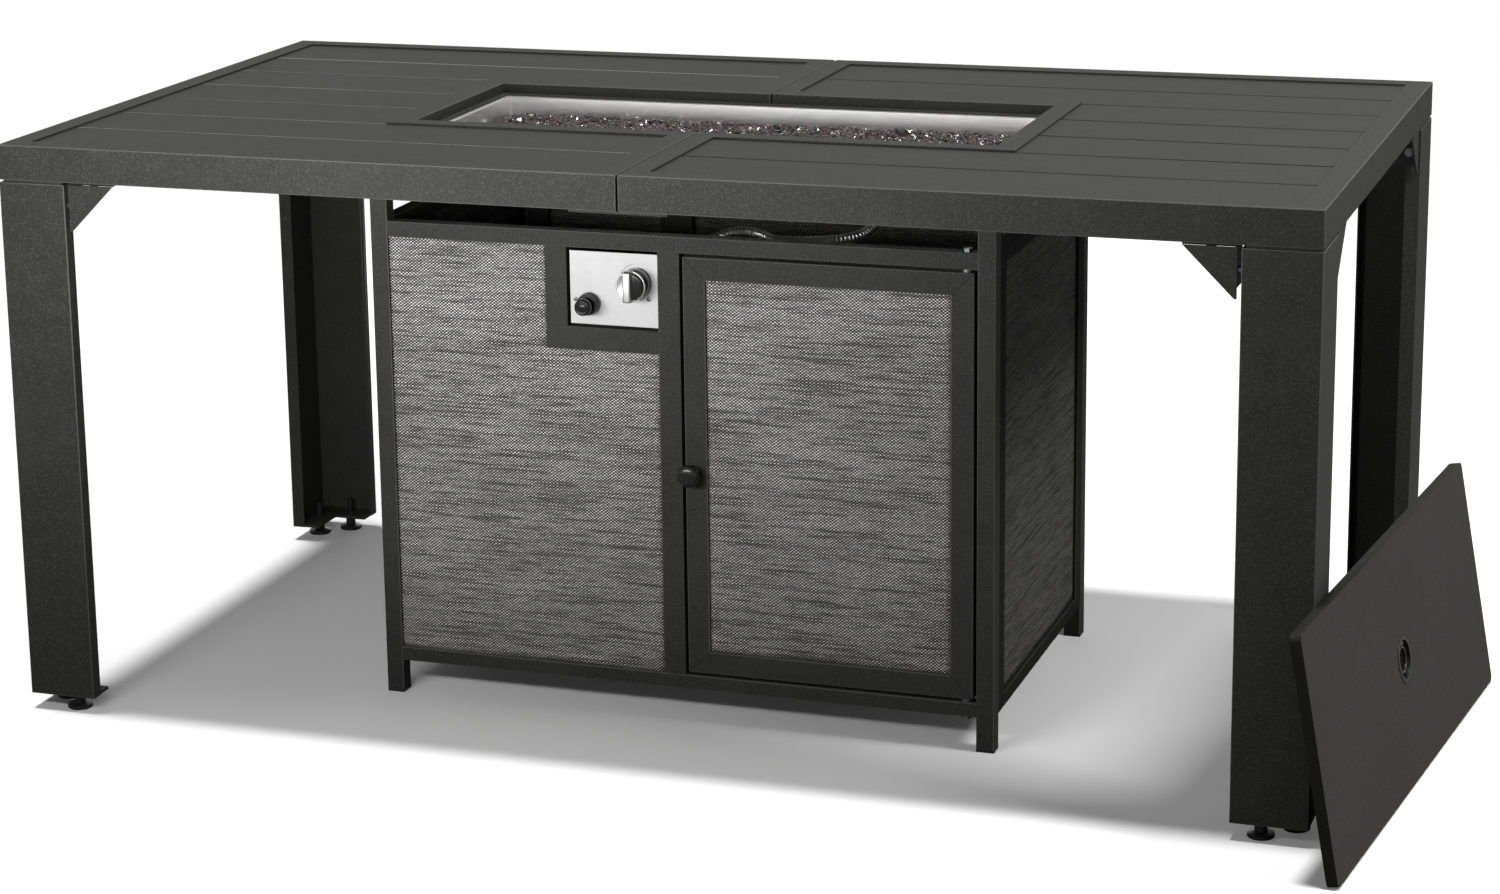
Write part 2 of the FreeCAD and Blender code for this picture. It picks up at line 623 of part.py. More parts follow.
def build_foot(label, side, sense, along_x):
    """A levelling foot: glide, hexagon and threaded stud."""
    along, across = ("FootAlong", "FootAcross") if along_x else ("FootAcross", "FootAlong")
    place = ("%d * (TableLength / 2 - %s)" % (side, along),
             "%d * (TableDepth / 2 - %s)" % (sense, across), "0")
    glide = turned(label + "_glide", (
        ("0", "0"), ("FootRadius - 1", "0"), ("FootRadius", "1"), ("FootRadius", "FootPad - 2"),
        ("FootNut / 2 + 1", "FootPad"), ("StudRadius", "FootPad"), ("StudRadius", "StudLength - 1"),
        ("StudRadius - 1", "StudLength"), ("0", "StudLength")), place)
    collar = hexagon(label + "_hex", "FootNut", "FootHeight - FootPad - RunClear",
                     (place[0], place[1], "FootPad"))
    node(label, weld(label + "_foot", [glide, collar]))


def build_gusset(side, sense, along_x):
    """A folded triangular bracket between the apron and a leg."""
    name = "gusset_%d_%d_%d" % (side, sense, along_x)
    top = UNDER_TOP + " - LegShadow"
    if along_x:
        out, into, turn, start = side, sense, "XZ_Plane", "TableLength / 2 - LegWidth - GussetGap"
        face = "TableDepth / 2 - GussetSetback"
    else:
        out, into, turn, start = sense, side, "YZ_Plane", "TableDepth / 2 - LegSide - GussetGap"
        face = "TableLength / 2 - GussetSetback"
    spot = ("0", "%d * (%s)" % (into, face), "0") if along_x else ("%d * (%s)" % (into, face), "0", "0")
    owner = body(name + "_sheet", *spot)
    web = sketch_on(owner, turn, name + "_web")
    polygon(web, [("%d * (%s)" % (out, u), z) for u, z in (
        (start, top), (start, UNDER_TOP + " - GussetDrop"),
        (start + " - GussetGauge", UNDER_TOP + " - GussetDrop"),
        (start + " - GussetReach", UNDER_TOP + " - GussetGauge"), (start + " - GussetReach", top))])
    inward = (into > 0) if along_x else (into < 0)
    pad(owner, web, "GussetGauge", reverse=not inward)
    upright = flip(out, (start + " - GussetGauge", start))
    ledge = flip(out, (start + " - GussetReach", start))
    depth = flip(into, (face + " - GussetGauge - GussetFlange", face + " - GussetGauge / 2"))
    foot = UNDER_TOP + " - 0.8 * GussetDrop"
    pieces = [owner]
    for label, along, zs in (("upright", upright, (foot, UNDER_TOP)),
                             ("ledge", ledge, (UNDER_TOP + " - GussetGauge", UNDER_TOP))):
        spans = (along, depth, zs) if along_x else (depth, along, zs)
        pieces.append(block("%s_%s" % (name, label), *spans))
    middle = "%d * (%s - GussetGauge - GussetBolt)" % (into, face)
    reach = "GussetReach / 2"
    ledge_hole = "%d * (%s - %s)" % (out, start, reach)
    if along_x:
        hole_z = (ledge_hole, middle, UNDER_TOP + " - 2 * GussetGauge")
        hole_side = ("%d * (%s) - GussetGauge * 2" % (out, start), middle, UNDER_TOP + " - GussetDrop / 2")
    else:
        hole_z = (middle, ledge_hole, UNDER_TOP + " - 2 * GussetGauge")
        hole_side = (middle, "%d * (%s) - GussetGauge * 2" % (out, start), UNDER_TOP + " - GussetDrop / 2")
    return cut(name, weld(name + "_folded", pieces),
               rod(name + "_hole_z", "BoltRadius + BoltClear", "3 * GussetGauge", hole_z),
               rod(name + "_hole_side", "BoltRadius + BoltClear", "4 * GussetGauge", hole_side,
                   "x" if along_x else "y"))


def build_corners():
    """Legs, feet and gussets of the four corners."""
    gussets = []
    for depth_word, sense in (("front", -1), ("rear", 1)):
        for side_word, side in (("left", -1), ("right", 1)):
            build_leg("leg_%s_%s" % (depth_word, side_word), side, sense)
            for word, along_x in (("outer", True), ("inner", False)):
                build_foot("foot_%s_%s_%s" % (depth_word, side_word, word), side, sense, along_x)
                gussets.append(build_gusset(side, sense, along_x))
    node("gussets", group("gusset_set", gussets))


def build_bolts():
    """Hex bolts and nuts of the top, the legs, the gussets and the posts."""
    bolts = []
    nuts = []
    for i, (x, y, foot) in enumerate(lip_bolts()):
        for side in (-1, 1):
            name = "lip_%d_%d" % (i, side)
            spot = "%d * (%s)" % (side, x)
            bolts.append(bolt(name + "_bolt", (spot, y, foot),
                              "%s - (%s) + NutHeight + BoltPast" % (LIP_TOP, foot)))
            nuts.append(nut(name + "_nut", (spot, y, LIP_TOP)))
    for side in (-1, 1):
        for sense in (-1, 1):
            name = "post_%d_%d" % (side, sense)
            x, y, foot = post_centre(side, sense, UNDER_TOP + " - LegPlate")
            bolts.append(bolt(name + "_bolt", (x, y, foot),
                              "LegPlate + StiffenerWall + NutHeight + BoltPast"))
            nuts.append(nut(name + "_nut", (x, y, UNDER_TOP + " + StiffenerWall")))
            height = UNDER_TOP + " - GussetDrop / 2"
            across = "GussetSetback + GussetGauge + GussetBolt"
            length = "LegGauge + GussetGap + GussetGauge + NutHeight + BoltPast"
            for along_x in (True, False):
                start = ("TableLength / 2 - LegWidth + LegGauge" if along_x
                         else "TableDepth / 2 - LegSide + LegGauge")
                out = side if along_x else sense
                gap = start + " - LegGauge - GussetGap"
                back = gap + " - GussetGauge - NutHeight"
                other = ("%d * (TableDepth / 2 - (%s))" % (sense, across) if along_x
                         else "%d * (TableLength / 2 - (%s))" % (side, across))

                def spot(along):
                    return (along, other, height) if along_x else (other, along, height)

                axis = "x" if along_x else "y"
                tag = "%s_%s" % (name, axis)
                bolts.append(bolt(tag + "_bolt", spot("%d * (%s)" % (out, start)), length, axis, -out))
                low = flip(out, (back, back + " + NutHeight"))[0]
                nuts.append(nut(tag + "_nut", spot(low), axis))
                low = flip(out, (gap, gap + " + GussetGap"))[0]
                nuts.append(cut(tag + "_spacer",
                                rod(tag + "_spacer_blank", "BoltHead / 2", "GussetGap", spot(low), axis),
                                rod(tag + "_spacer_bore", "BoltRadius + BoltClear", "GussetGap",
                                    spot(low), axis)))
    node("hex_bolts", group("bolt_set", bolts))
    node("hex_nuts", group("nut_set", nuts))


def build_cabinet():
    """Posts, plugs, rails, stiles and woven panels of the cabinet."""
    posts = []
    plugs = []
    for side in (-1, 1):
        for sense in (-1, 1):
            name = "post%d_%d" % (side, sense)
            xs = flip(side, (POST_IN, "CabinetLength / 2"))
            ys = flip(sense, ("CabinetDepth / 2 - PostSize", "CabinetDepth / 2"))
            hole = rod(name + "_hole", "BoltRadius + BoltClear", "3 * LegPlate",
                       post_centre(side, sense, UNDER_TOP + " - 2 * LegPlate"))
            posts.append(cut(name, block(name + "_outer", xs, ys, ("PlugHeight", UNDER_TOP)),
                             block(name + "_bore", grow(xs, "-TubeWall"), grow(ys, "-TubeWall"),
                                   ("PlugHeight - 5", UNDER_TOP + " - LegPlate")), hole))
            insert = "-(TubeWall + PlugClear)"
            plugs.append(weld(name + "_plug", [
                block(name + "_plug_foot", xs, ys, ("0", "PlugHeight")),
                block(name + "_plug_insert", grow(xs, insert), grow(ys, insert),
                      ("PlugHeight / 2", "PlugHeight + PlugInsert"))]))
    node("cabinet_posts", group("post_set", posts))
    node("post_plugs", group("plug_set", plugs))

    front = (FRONT, FRAME_BACK)
    for label, zs in (("front_top_rail", (WINDOW_HEAD, "CabinetTop")),
                      ("front_bottom_rail", ("CabinetFloor", WINDOW_FOOT))):
        xs = about("0", POST_IN)
        bore = block(label + "_bore", grow(xs, "5"), grow(front, "-TubeWall"), grow(zs, "-TubeWall"))
        hole = rod(label + "_hole", "PivotRadius + BoltClear", "TopRail + BottomRail",
                   (PIVOT_X, PIVOT_Y, "(%s) - 5" % zs[0]))
        node(label, cut(label + "_tube", block(label + "_outer", xs, front, zs), bore, hole))
    stile = (STILE_LEFT, STILE_RIGHT)
    node("front_mid_stile", cut(
        "mid_stile_tube", block("mid_stile_outer", stile, front, (WINDOW_FOOT, WINDOW_HEAD)),
        block("mid_stile_bore", grow(stile, "-TubeWall"), grow(front, "-TubeWall"),
              (WINDOW_FOOT + " - 5", WINDOW_HEAD + " + 5"))))
    upright = ("SurroundLeft", "SurroundLeft + SurroundMember")
    sill = ("SurroundLeft + SurroundMember", STILE_LEFT)
    sill_zs = ("SurroundBottom", "SurroundBottom + SurroundMember")
    node("control_surround", weld("surround", [
        cut("surround_upright",
            block("surround_upright_outer", upright, front, ("SurroundBottom", WINDOW_HEAD)),
            block("surround_upright_bore", grow(upright, "-TubeWall"), grow(front, "-TubeWall"),
                  ("SurroundBottom - 5", WINDOW_HEAD + " + 5"))),
        cut("surround_sill", block("surround_sill_outer", sill, front, sill_zs),
            block("surround_sill_bore", grow(sill, "5"), grow(front, "-TubeWall"),
                  grow(sill_zs, "-TubeWall")))]))
    cloth = ("%s + FabricSetback" % FRONT, "%s + FabricSetback + FabricThick" % FRONT)
    node("front_fabric", cut(
        "front_cloth", block("front_cloth_sheet", ("-(%s)" % POST_IN, STILE_LEFT), cloth,
                             (WINDOW_FOOT, WINDOW_HEAD)),
        block("front_cloth_notch", ("SurroundLeft", STILE_LEFT + " + 5"), grow(cloth, "5"),
              ("SurroundBottom", WINDOW_HEAD + " + 5"))))

    tall = ("CabinetFloor", "CabinetTop")
    opening = (WINDOW_FOOT, WINDOW_HEAD)
    depth = about("0", "CabinetDepth / 2 - PostSize")
    window = grow(depth, "-StileWidth")
    for word, side in (("left", -1), ("right", 1)):
        through = flip(side, ("CabinetLength / 2 - FrameThick", "CabinetLength / 2"))
        cloth = flip(side, ("CabinetLength / 2 - FabricSetback - FabricThick",
                            "CabinetLength / 2 - FabricSetback"))
        node(word + "_panel_frame", tube_frame(word + "_panel", "end", depth, through, tall,
                                               [window], opening))
        node(word + "_panel_fabric", block(word + "_cloth", cloth, window, opening))
    width = about("0", POST_IN)
    through = ("CabinetDepth / 2 - FrameThick", "CabinetDepth / 2")
    cloth = ("CabinetDepth / 2 - FabricSetback - FabricThick", "CabinetDepth / 2 - FabricSetback")
    windows = [("-(%s - StileWidth)" % POST_IN, "RearStileX - RearStile / 2"),
               ("RearStileX + RearStile / 2", "%s - StileWidth" % POST_IN)]
    node("rear_panel_frame", tube_frame("rear_panel", "front", width, through, tall, windows, opening))
    node("rear_panel_fabric", group("rear_cloth", [
        block("rear_cloth%d" % i, window, cloth, opening) for i, window in enumerate(windows)]))


def build_door():
    """Door, its pivots, its knob and its magnetic catch."""
    xs = (DOOR_LEFT, DOOR_RIGHT)
    zs = (WINDOW_FOOT + " + DoorGap", WINDOW_HEAD + " - DoorGap")
    ys = (FRONT, FRAME_BACK)
    opening = (zs[0] + " + DoorTop", zs[1] + " - DoorTop")
    window = grow(xs, "-StileWidth")
    frame = tube_frame("door", "front", xs, ys, zs, [window], opening)
    bush = "PivotDepth + 2 * PivotBush"
    bushes = [rod("door_bush_low", "PivotBush", bush, (PIVOT_X, PIVOT_Y, zs[0])),
              rod("door_bush_high", "PivotBush", bush, (PIVOT_X, PIVOT_Y, "%s - (%s)" % (zs[1], bush)))]
    depth = "PivotDepth + PivotRadius"
    bores = [rod("door_bore_low", "PivotRadius + RunClear", depth, (PIVOT_X, PIVOT_Y, zs[0])),
             rod("door_bore_high", "PivotRadius + RunClear", depth,
                 (PIVOT_X, PIVOT_Y, "%s - (%s)" % (zs[1], depth)))]
    node("door_frame", cut("door_bored", weld("door_with_bushes", [frame] + bushes), *bores))
    cloth = ("%s + FabricSetback" % FRONT, "%s + FabricSetback + FabricThick" % FRONT)
    node("door_fabric", block("door_cloth", window, cloth, opening))

    pins = []
    gap = "DoorGap - WasherPlay"
    for word, rail, head, start, washer in (
            ("low", "BottomRail", "CabinetFloor - HeadHeight", "CabinetFloor", WINDOW_FOOT),
            ("high", "TopRail", "CabinetTop", "CabinetTop - TopRail - DoorGap - PivotDepth",
             WINDOW_HEAD + " - (%s)" % gap)):
        pins.append(weld("pin_" + word, [
            hexagon("pin_head_" + word, "BoltHead", "HeadHeight", (PIVOT_X, PIVOT_Y, head)),
            rod("pin_shank_" + word, "PivotRadius", rail + " + DoorGap + PivotDepth",
                (PIVOT_X, PIVOT_Y, start))]))
        pins.append(cut("washer_" + word,
                        rod("washer_disc_" + word, "WasherRadius", gap, (PIVOT_X, PIVOT_Y, washer)),
                        rod("washer_bore_" + word, "PivotRadius + WasherPlay", "DoorGap",
                            (PIVOT_X, PIVOT_Y, washer))))
    node("pivot_pins", group("pivot_set", pins))

    knob = turned("door_knob_turned", (
        ("0", "0"), ("DoorKnobRadius * 0.5", "0"), ("DoorKnobRadius * 0.4", "-DoorKnobReach * 0.3"),
        ("DoorKnobRadius * 0.8", "-DoorKnobReach * 0.45"), ("DoorKnobRadius", "-DoorKnobReach * 0.62"),
        ("DoorKnobRadius * 0.97", "-DoorKnobReach * 0.78"), ("DoorKnobRadius * 0.75", "-DoorKnobReach * 0.93"),
        ("DoorKnobRadius * 0.4", "-DoorKnobReach"), ("0", "-DoorKnobReach")),
        ("DoorKnobX", FRONT, "DoorKnobZ"), "XY_Plane")
    node("door_knob", knob)

    lap = (DOOR_LEFT, "%s + CatchLap" % DOOR_LEFT)
    catch_zs = about("CatchZ", "CatchHeight / 2")
    front = FRAME_BACK + " + StrikerGauge + CatchAir"
    magnet = block("catch_magnet_block", lap, (front, front + " + CatchDepth"), catch_zs)
    tab = block("catch_tab", (STILE_LEFT + " + TubeWall", "%s + CatchLap / 2" % DOOR_LEFT),
                (FRAME_BACK + " + CatchDepth / 2", FRAME_BACK + " + CatchDepth / 2 + BracketGauge"), catch_zs)
    seat = block("catch_seat", (STILE_LEFT + " + TubeWall", STILE_RIGHT),
                 (FRAME_BACK, FRAME_BACK + " + CatchDepth / 2 + BracketGauge"), catch_zs)
    node("catch_magnet", weld("catch", [magnet, tab, seat]))
    node("catch_striker", block("striker", grow(lap, "-BracketGauge"),
                                (FRAME_BACK, FRAME_BACK + " + StrikerGauge"),
                                grow(catch_zs, "-BracketGauge")))


def build_controls():
    """Control plate, valve with its knob, and igniter."""
    left = "SurroundLeft + SurroundMember + ControlGap"
    foot = "SurroundBottom + SurroundMember + ControlGap"
    plate = block("control_sheet", (left, STILE_LEFT), (PLATE_FACE, PLATE_BACK),
                  (foot, WINDOW_HEAD + " - ControlGap"))
    sheet_xs = ("%s + BracketInset" % left, STILE_LEFT + " - BracketInset")
    sheet_zs = ("%s + BracketInset" % foot, WINDOW_HEAD + " - ControlGap - BracketInset")
    walls = []
    for word, inner, outer in (
            ("left", ("SurroundLeft + TubeWall", "%s + BracketGauge" % sheet_xs[0]),
             (sheet_xs[0], "%s + BracketGauge" % sheet_xs[0])),
            ("right", ("%s - BracketGauge" % sheet_xs[1], STILE_LEFT + " + BracketFlange"),
             ("%s - BracketGauge" % sheet_xs[1], sheet_xs[1]))):
        walls.append(block("bracket_wall_" + word, outer, (PLATE_BACK, FRAME_BACK + " + BracketGauge"),
                           sheet_zs))
        walls.append(block("bracket_flange_" + word, inner,
                           (FRAME_BACK, FRAME_BACK + " + BracketGauge"), sheet_zs))
    bracket = weld("bracket_folded", [block("bracket_face", sheet_xs, (PLATE_BACK, BRACKET_BACK),
                                            sheet_zs)] + walls)
    screw_spots = (("%s + BracketInset + ScrewHead" % left, "%s + PlateScrewLow" % foot),
                   (STILE_LEFT + " - BracketInset - 3 * ScrewHead", "%s + PlateScrewHigh" % foot))
    screw_start = PLATE_FACE + " - ScrewHeadHeight"
    length = "ControlGauge + BracketGauge + 3 * ScrewHeadHeight"

    def openings(tag):
        start = PLATE_FACE + " - 5"
        reach = "ControlGauge + BracketGauge + 10"
        tools = [rod(tag + "_knob_hole", "SpindleRadius + BoltClear", reach, ("KnobX", start, "KnobZ"), "y"),
                 rod(tag + "_igniter_hole", "IgniterRadius + BoltClear", reach,
                     ("ButtonX", start, "ButtonZ"), "y")]
        for i, (x, z) in enumerate(screw_spots):
            tools.append(rod("%s_screw_hole%d" % (tag, i), "ScrewRadius + NutClear", reach,
                             (x, start, z), "y"))
        return tools

    node("control_plate", cut("control_plate_drilled", plate, *openings("plate")))
    node("valve_bracket", cut("bracket_drilled", bracket, *openings("bracket")))

    depth = "(%s + ValveDeep / 2)" % VALVE_FRONT
    half = "ValveWidth / 2"
    casting = weld("valve_casting", [
        block("valve_block", about("KnobX", half), (VALVE_FRONT, VALVE_FRONT + " + ValveDeep"),
              about("KnobZ", "ValveTall / 2")),
        rod("valve_neck", "ValveNeck", "ValveStandoff + ValveDeep / 4", ("KnobX", BRACKET_BACK, "KnobZ"), "y"),
        rod("valve_inlet", "InletRadius", "InletLength + ValveTall / 4",
            ("KnobX", depth, "KnobZ - ValveTall / 2 - InletLength")),
        rod("valve_outlet", "SpigotRadius", "OutletLength + ValveDeep / 4",
            ("KnobX", VALVE_FRONT + " + ValveDeep * 3 / 4", "KnobZ"), "y")])
    node("gas_valve", cut("valve_bored", casting,
                          rod("valve_bore", "SpindleRadius + RunClear", "ValveStandoff + ValveDeep / 3",
                              ("KnobX", BRACKET_BACK, "KnobZ"), "y"),
                          rod("inlet_bore", "InletRadius / 2", "InletLength",
                              ("KnobX", depth, "KnobZ - ValveTall / 2 - InletLength")),
                          rod("outlet_bore", "HoseBore", "OutletLength",
                              ("KnobX", VALVE_FRONT + " + ValveDeep", "KnobZ"), "y")))
    knob_back = PLATE_FACE + " - KnobGap"
    reach = "SpindleReach + KnobGap + ControlSetback + ControlGauge + BracketGauge + ValveStandoff"
    node("valve_spindle", rod("spindle", "SpindleRadius", reach,
                              ("KnobX", knob_back + " - SpindleReach", "KnobZ"), "y"))
    front = "%s - KnobSkirt" % knob_back
    skirt = turned("knob_skirt", (
        ("0", "0"), ("KnobRadius", "0"), ("KnobRadius", "-KnobSkirt * 0.35"),
        ("KnobRadius * 0.9", "-KnobSkirt"), ("0", "-KnobSkirt")), ("KnobX", knob_back, "KnobZ"), "XY_Plane")
    grip = doc.addObject("Part::Common", "knob_grip")
    grip.Base = block("grip_blade", about("KnobX", "GripWidth / 2"),
                      (front + " - KnobGrip", front + " + KnobSkirt / 2"), about("KnobZ", "KnobRadius"))
    grip.Tool = rod("grip_round", "KnobRadius * 0.92", "KnobGrip + KnobSkirt",
                    ("KnobX", front + " - KnobGrip", "KnobZ"), "y")
    node("gas_knob", cut("knob_bored", weld("knob_solid", [skirt, grip]),
                         rod("knob_bore", "SpindleRadius + RunClear", "SpindleReach + KnobPush + 1",
                             ("KnobX", knob_back + " - SpindleReach - KnobPush - 1", "KnobZ"), "y")))

    stem_end = "%s - CollarHeight + ButtonReach" % PLATE_FACE
    cap_back = "%s - CollarHeight - ButtonTravel - ButtonSpare" % PLATE_FACE
    node("igniter_body", cut(
        "igniter_bored",
        weld("igniter_solid", [
            rod("igniter_collar", "IgniterCollar", "CollarHeight",
                ("ButtonX", PLATE_FACE + " - CollarHeight", "ButtonZ"), "y"),
            rod("igniter_barrel", "IgniterRadius", "IgniterLength + CollarHeight",
                ("ButtonX", PLATE_FACE + " - CollarHeight", "ButtonZ"), "y")]),
        rod("igniter_bore", "ButtonStem + RunClear", "ButtonReach + ButtonTravel + ButtonSpare",
            ("ButtonX", PLATE_FACE + " - CollarHeight", "ButtonZ"), "y")))
    travel = "CollarHeight + ButtonTravel + ButtonSpare"
    node("igniter_button", turned("button_turned", (
        ("0", "0"), ("ButtonStem", "0"), ("ButtonStem", "-(ButtonReach + ButtonTravel + ButtonSpare)"),
        ("ButtonRadius", "-(ButtonReach + ButtonTravel + ButtonSpare)"),
        ("ButtonRadius", "-(ButtonReach + ButtonTravel + ButtonSpare + ButtonCap * 0.6)"),
        ("ButtonRadius * 0.8", "-(ButtonReach + ButtonTravel + ButtonSpare + ButtonCap)"),
        ("0", "-(ButtonReach + ButtonTravel + ButtonSpare + ButtonCap)")),
        ("ButtonX", stem_end, "ButtonZ"), "XY_Plane"))

    screws = [weld("plate_screw%d" % i, [
        rod("plate_screw_head%d" % i, "ScrewHead", "ScrewHeadHeight", (x, screw_start, z), "y"),
        rod("plate_screw_shank%d" % i, "ScrewRadius", length, (x, screw_start, z), "y")])
        for i, (x, z) in enumerate(screw_spots)]
    return screws


def collar_screw_spots():
    """(x, y) of the screws between the burner collar and the lip of the opening."""
    line_x = "OpeningLength / 2 - CollarClear + CollarFlange / 2"
    line_y = "OpeningDepth / 2 - CollarClear + CollarFlange / 2"
    spots = [("%d * (%s)" % (side, line_x), "%d * OpeningDepth / 4" % sense)
             for side in (-1, 1) for sense in (-1, 1)]
    spots += [("%d * OpeningLength * %s" % (side, share), "%d * (%s)" % (sense, line_y))
              for side in (-1, 1) for share in ("0.2", "0.4") for sense in (-1, 1)]
    return spots


def pan_screw_spots():
    """(x, y) of the screws that hold the pan's flange up to the ledge."""
    line_x = "%s + PanStep + ScrewHead" % PAN_X
    line_y = "%s + PanStep + ScrewHead" % PAN_Y
    spots = [("%d * (%s)" % (side, line_x), "0") for side in (-1, 1)]
    spots += [("%d * OpeningLength * 0.3" % side, "%d * (%s)" % (sense, line_y))
              for side in (-1, 1) for sense in (-1, 1)]
    return spots


def build_burner(screws):
    """Collar, pan, glass, burner tube, mixer and ignition bracket."""
    wall_x = "OpeningLength / 2 - CollarClear"
    wall_y = "OpeningDepth / 2 - CollarClear"
    foot = UNDER_TOP + " - CollarGauge"
    collar = weld("collar_folded", [
        ring("collar_wall", wall_x, wall_y, wall_x + " - CollarGauge", wall_y + " - CollarGauge",
             (foot, LEDGE_TOP)),
        ring("collar_ledge", wall_x, wall_y, wall_x + " - CollarGauge - LedgeWidth",
             wall_y + " - CollarGauge - LedgeWidth", (LEDGE_UNDER, LEDGE_TOP)),
        ring("collar_flange", wall_x + " + CollarFlange", wall_y + " + CollarFlange",
             wall_x + " - CollarGauge", wall_y + " - CollarGauge", (foot, UNDER_TOP))])
    holes = [rod("collar_hole%d" % i, "ScrewRadius + NutClear", "3 * CollarGauge",
                 (x, y, foot + " - CollarGauge")) for i, (x, y) in enumerate(collar_screw_spots())]
    holes += [rod("ledge_hole%d" % i, "ScrewRadius + NutClear", "3 * CollarGauge",
                  (x, y, LEDGE_UNDER + " - CollarGauge")) for i, (x, y) in enumerate(pan_screw_spots())]
    node("burner_collar", cut("collar_drilled", collar, *holes))
    for i, (x, y) in enumerate(collar_screw_spots()):
        screws.append(weld("collar_screw%d" % i, [
            rod("collar_screw_head%d" % i, "ScrewHead", "ScrewHeadHeight",
                (x, y, foot + " - ScrewHeadHeight")),
            rod("collar_screw_shank%d" % i, "ScrewRadius", "ScrewHeadHeight + CollarGauge - NutClear",
                (x, y, foot + " - ScrewHeadHeight"))]))
    for i, (x, y) in enumerate(pan_screw_spots()):
        start = LEDGE_UNDER + " - PanGauge - ScrewHeadHeight"
        screws.append(weld("pan_screw%d" % i, [
            rod("pan_screw_head%d" % i, "ScrewHead", "ScrewHeadHeight", (x, y, start)),
            rod("pan_screw_shank%d" % i, "ScrewRadius", "ScrewHeadHeight + PanGauge + CollarGauge - NutClear",
                (x, y, start))]))
    node("small_screws", group("screw_set", screws))

    inner_x, inner_y = PAN_X + " - PanGauge", PAN_Y + " - PanGauge"
    tub = weld("pan_pressed", [
        block("pan_tub", about("0", PAN_X), about("0", PAN_Y), ("PanBottom", LEDGE_UNDER)),
        block("pan_rim", about("0", PAN_X + " + PanFlange"), about("0", PAN_Y + " + PanFlange"),
              (LEDGE_UNDER + " - PanGauge", LEDGE_UNDER))])
    sensor_spots = ["SensorX - SensorPitch", "SensorX + SensorPitch"]
    holes = [block("pan_hollow", about("0", inner_x), about("0", inner_y), (PAN_FLOOR, LEDGE_UNDER + " + 5")),
             rod("pan_feed_hole", "FeedRadius + BoltClear", "3 * PanGauge", ("FeedX", "0", "PanBottom - PanGauge"))]
    holes += [rod("pan_sensor_hole%d" % i, "SensorRadius + BoltClear", "3 * PanGauge",
                  (x, "SensorY", "PanBottom - PanGauge")) for i, x in enumerate(sensor_spots)]
    holes += [rod("pan_screw_hole%d" % i, "ScrewRadius + NutClear", "3 * PanGauge",
                  (x, y, LEDGE_UNDER + " - 2 * PanGauge")) for i, (x, y) in enumerate(pan_screw_spots())]
    node("burner_pan", cut("pan_drilled", tub, *holes))

    saddle = (PAN_FLOOR, BURNER_AXIS)
    saddles = [("saddle%d" % side, about("%d * SaddleX" % side, "BurnerWall"),
                about("0", "BurnerRadius * 0.8")) for side in (-1, 1)]
    tube = weld("burner_welded", [
        rod("burner_outer", "BurnerRadius", "BurnerLength", ("-BurnerLength / 2", "0", BURNER_AXIS), "x"),
        rod("burner_feed", "FeedRadius", "%s - PanBottom + FeedDrop" % BURNER_AXIS,
            ("FeedX", "0", "PanBottom - FeedDrop"))]
        + [block(name, xs, ys, saddle) for name, xs, ys in saddles])
    ports = [rod("port%d" % i, "PortRadius", "3 * BurnerRadius",
                 ("%d * PortPitch" % i, "-1.5 * BurnerRadius", BURNER_AXIS), "y")
             for i in range(-port_reach(), port_reach() + 1)]
    node("burner_tube", cut(
        "burner_bored", tube,
        rod("burner_inner", "BurnerRadius - BurnerWall", "BurnerLength - 2 * BurnerWall",
            ("BurnerWall - BurnerLength / 2", "0", BURNER_AXIS), "x"),
        rod("burner_feed_bore", "FeedRadius - 2 * BurnerWall", "%s - PanBottom + FeedDrop" % BURNER_AXIS,
            ("FeedX", "0", "PanBottom - FeedDrop")), *ports))

    room = "BoltClear"
    hollow = [rod("glass_tube_room", "BurnerRadius + " + room, "BurnerLength + 2 * " + room,
                  ("-BurnerLength / 2 - " + room, "0", BURNER_AXIS), "x"),
              rod("glass_feed_room", "FeedRadius + " + room, "BurnerLift + BurnerRadius + 5",
                  ("FeedX", "0", PAN_FLOOR + " - 5")),
              block("glass_sensor_room", about("SensorX", "SensorHalf + " + room),
                    about("SensorY", "SensorHalf / 2 + " + room), (PAN_FLOOR + " - 5", "GlassTop + 5"))]
    hollow += [block(name + "_room", grow(xs, room), grow(ys, room), (PAN_FLOOR + " - 5", BURNER_AXIS))
               for name, xs, ys in saddles]
    node("fire_glass", cut("glass_bed", block("glass_slab", about("0", inner_x), about("0", inner_y),
                                              (PAN_FLOOR, "GlassTop")), *hollow))

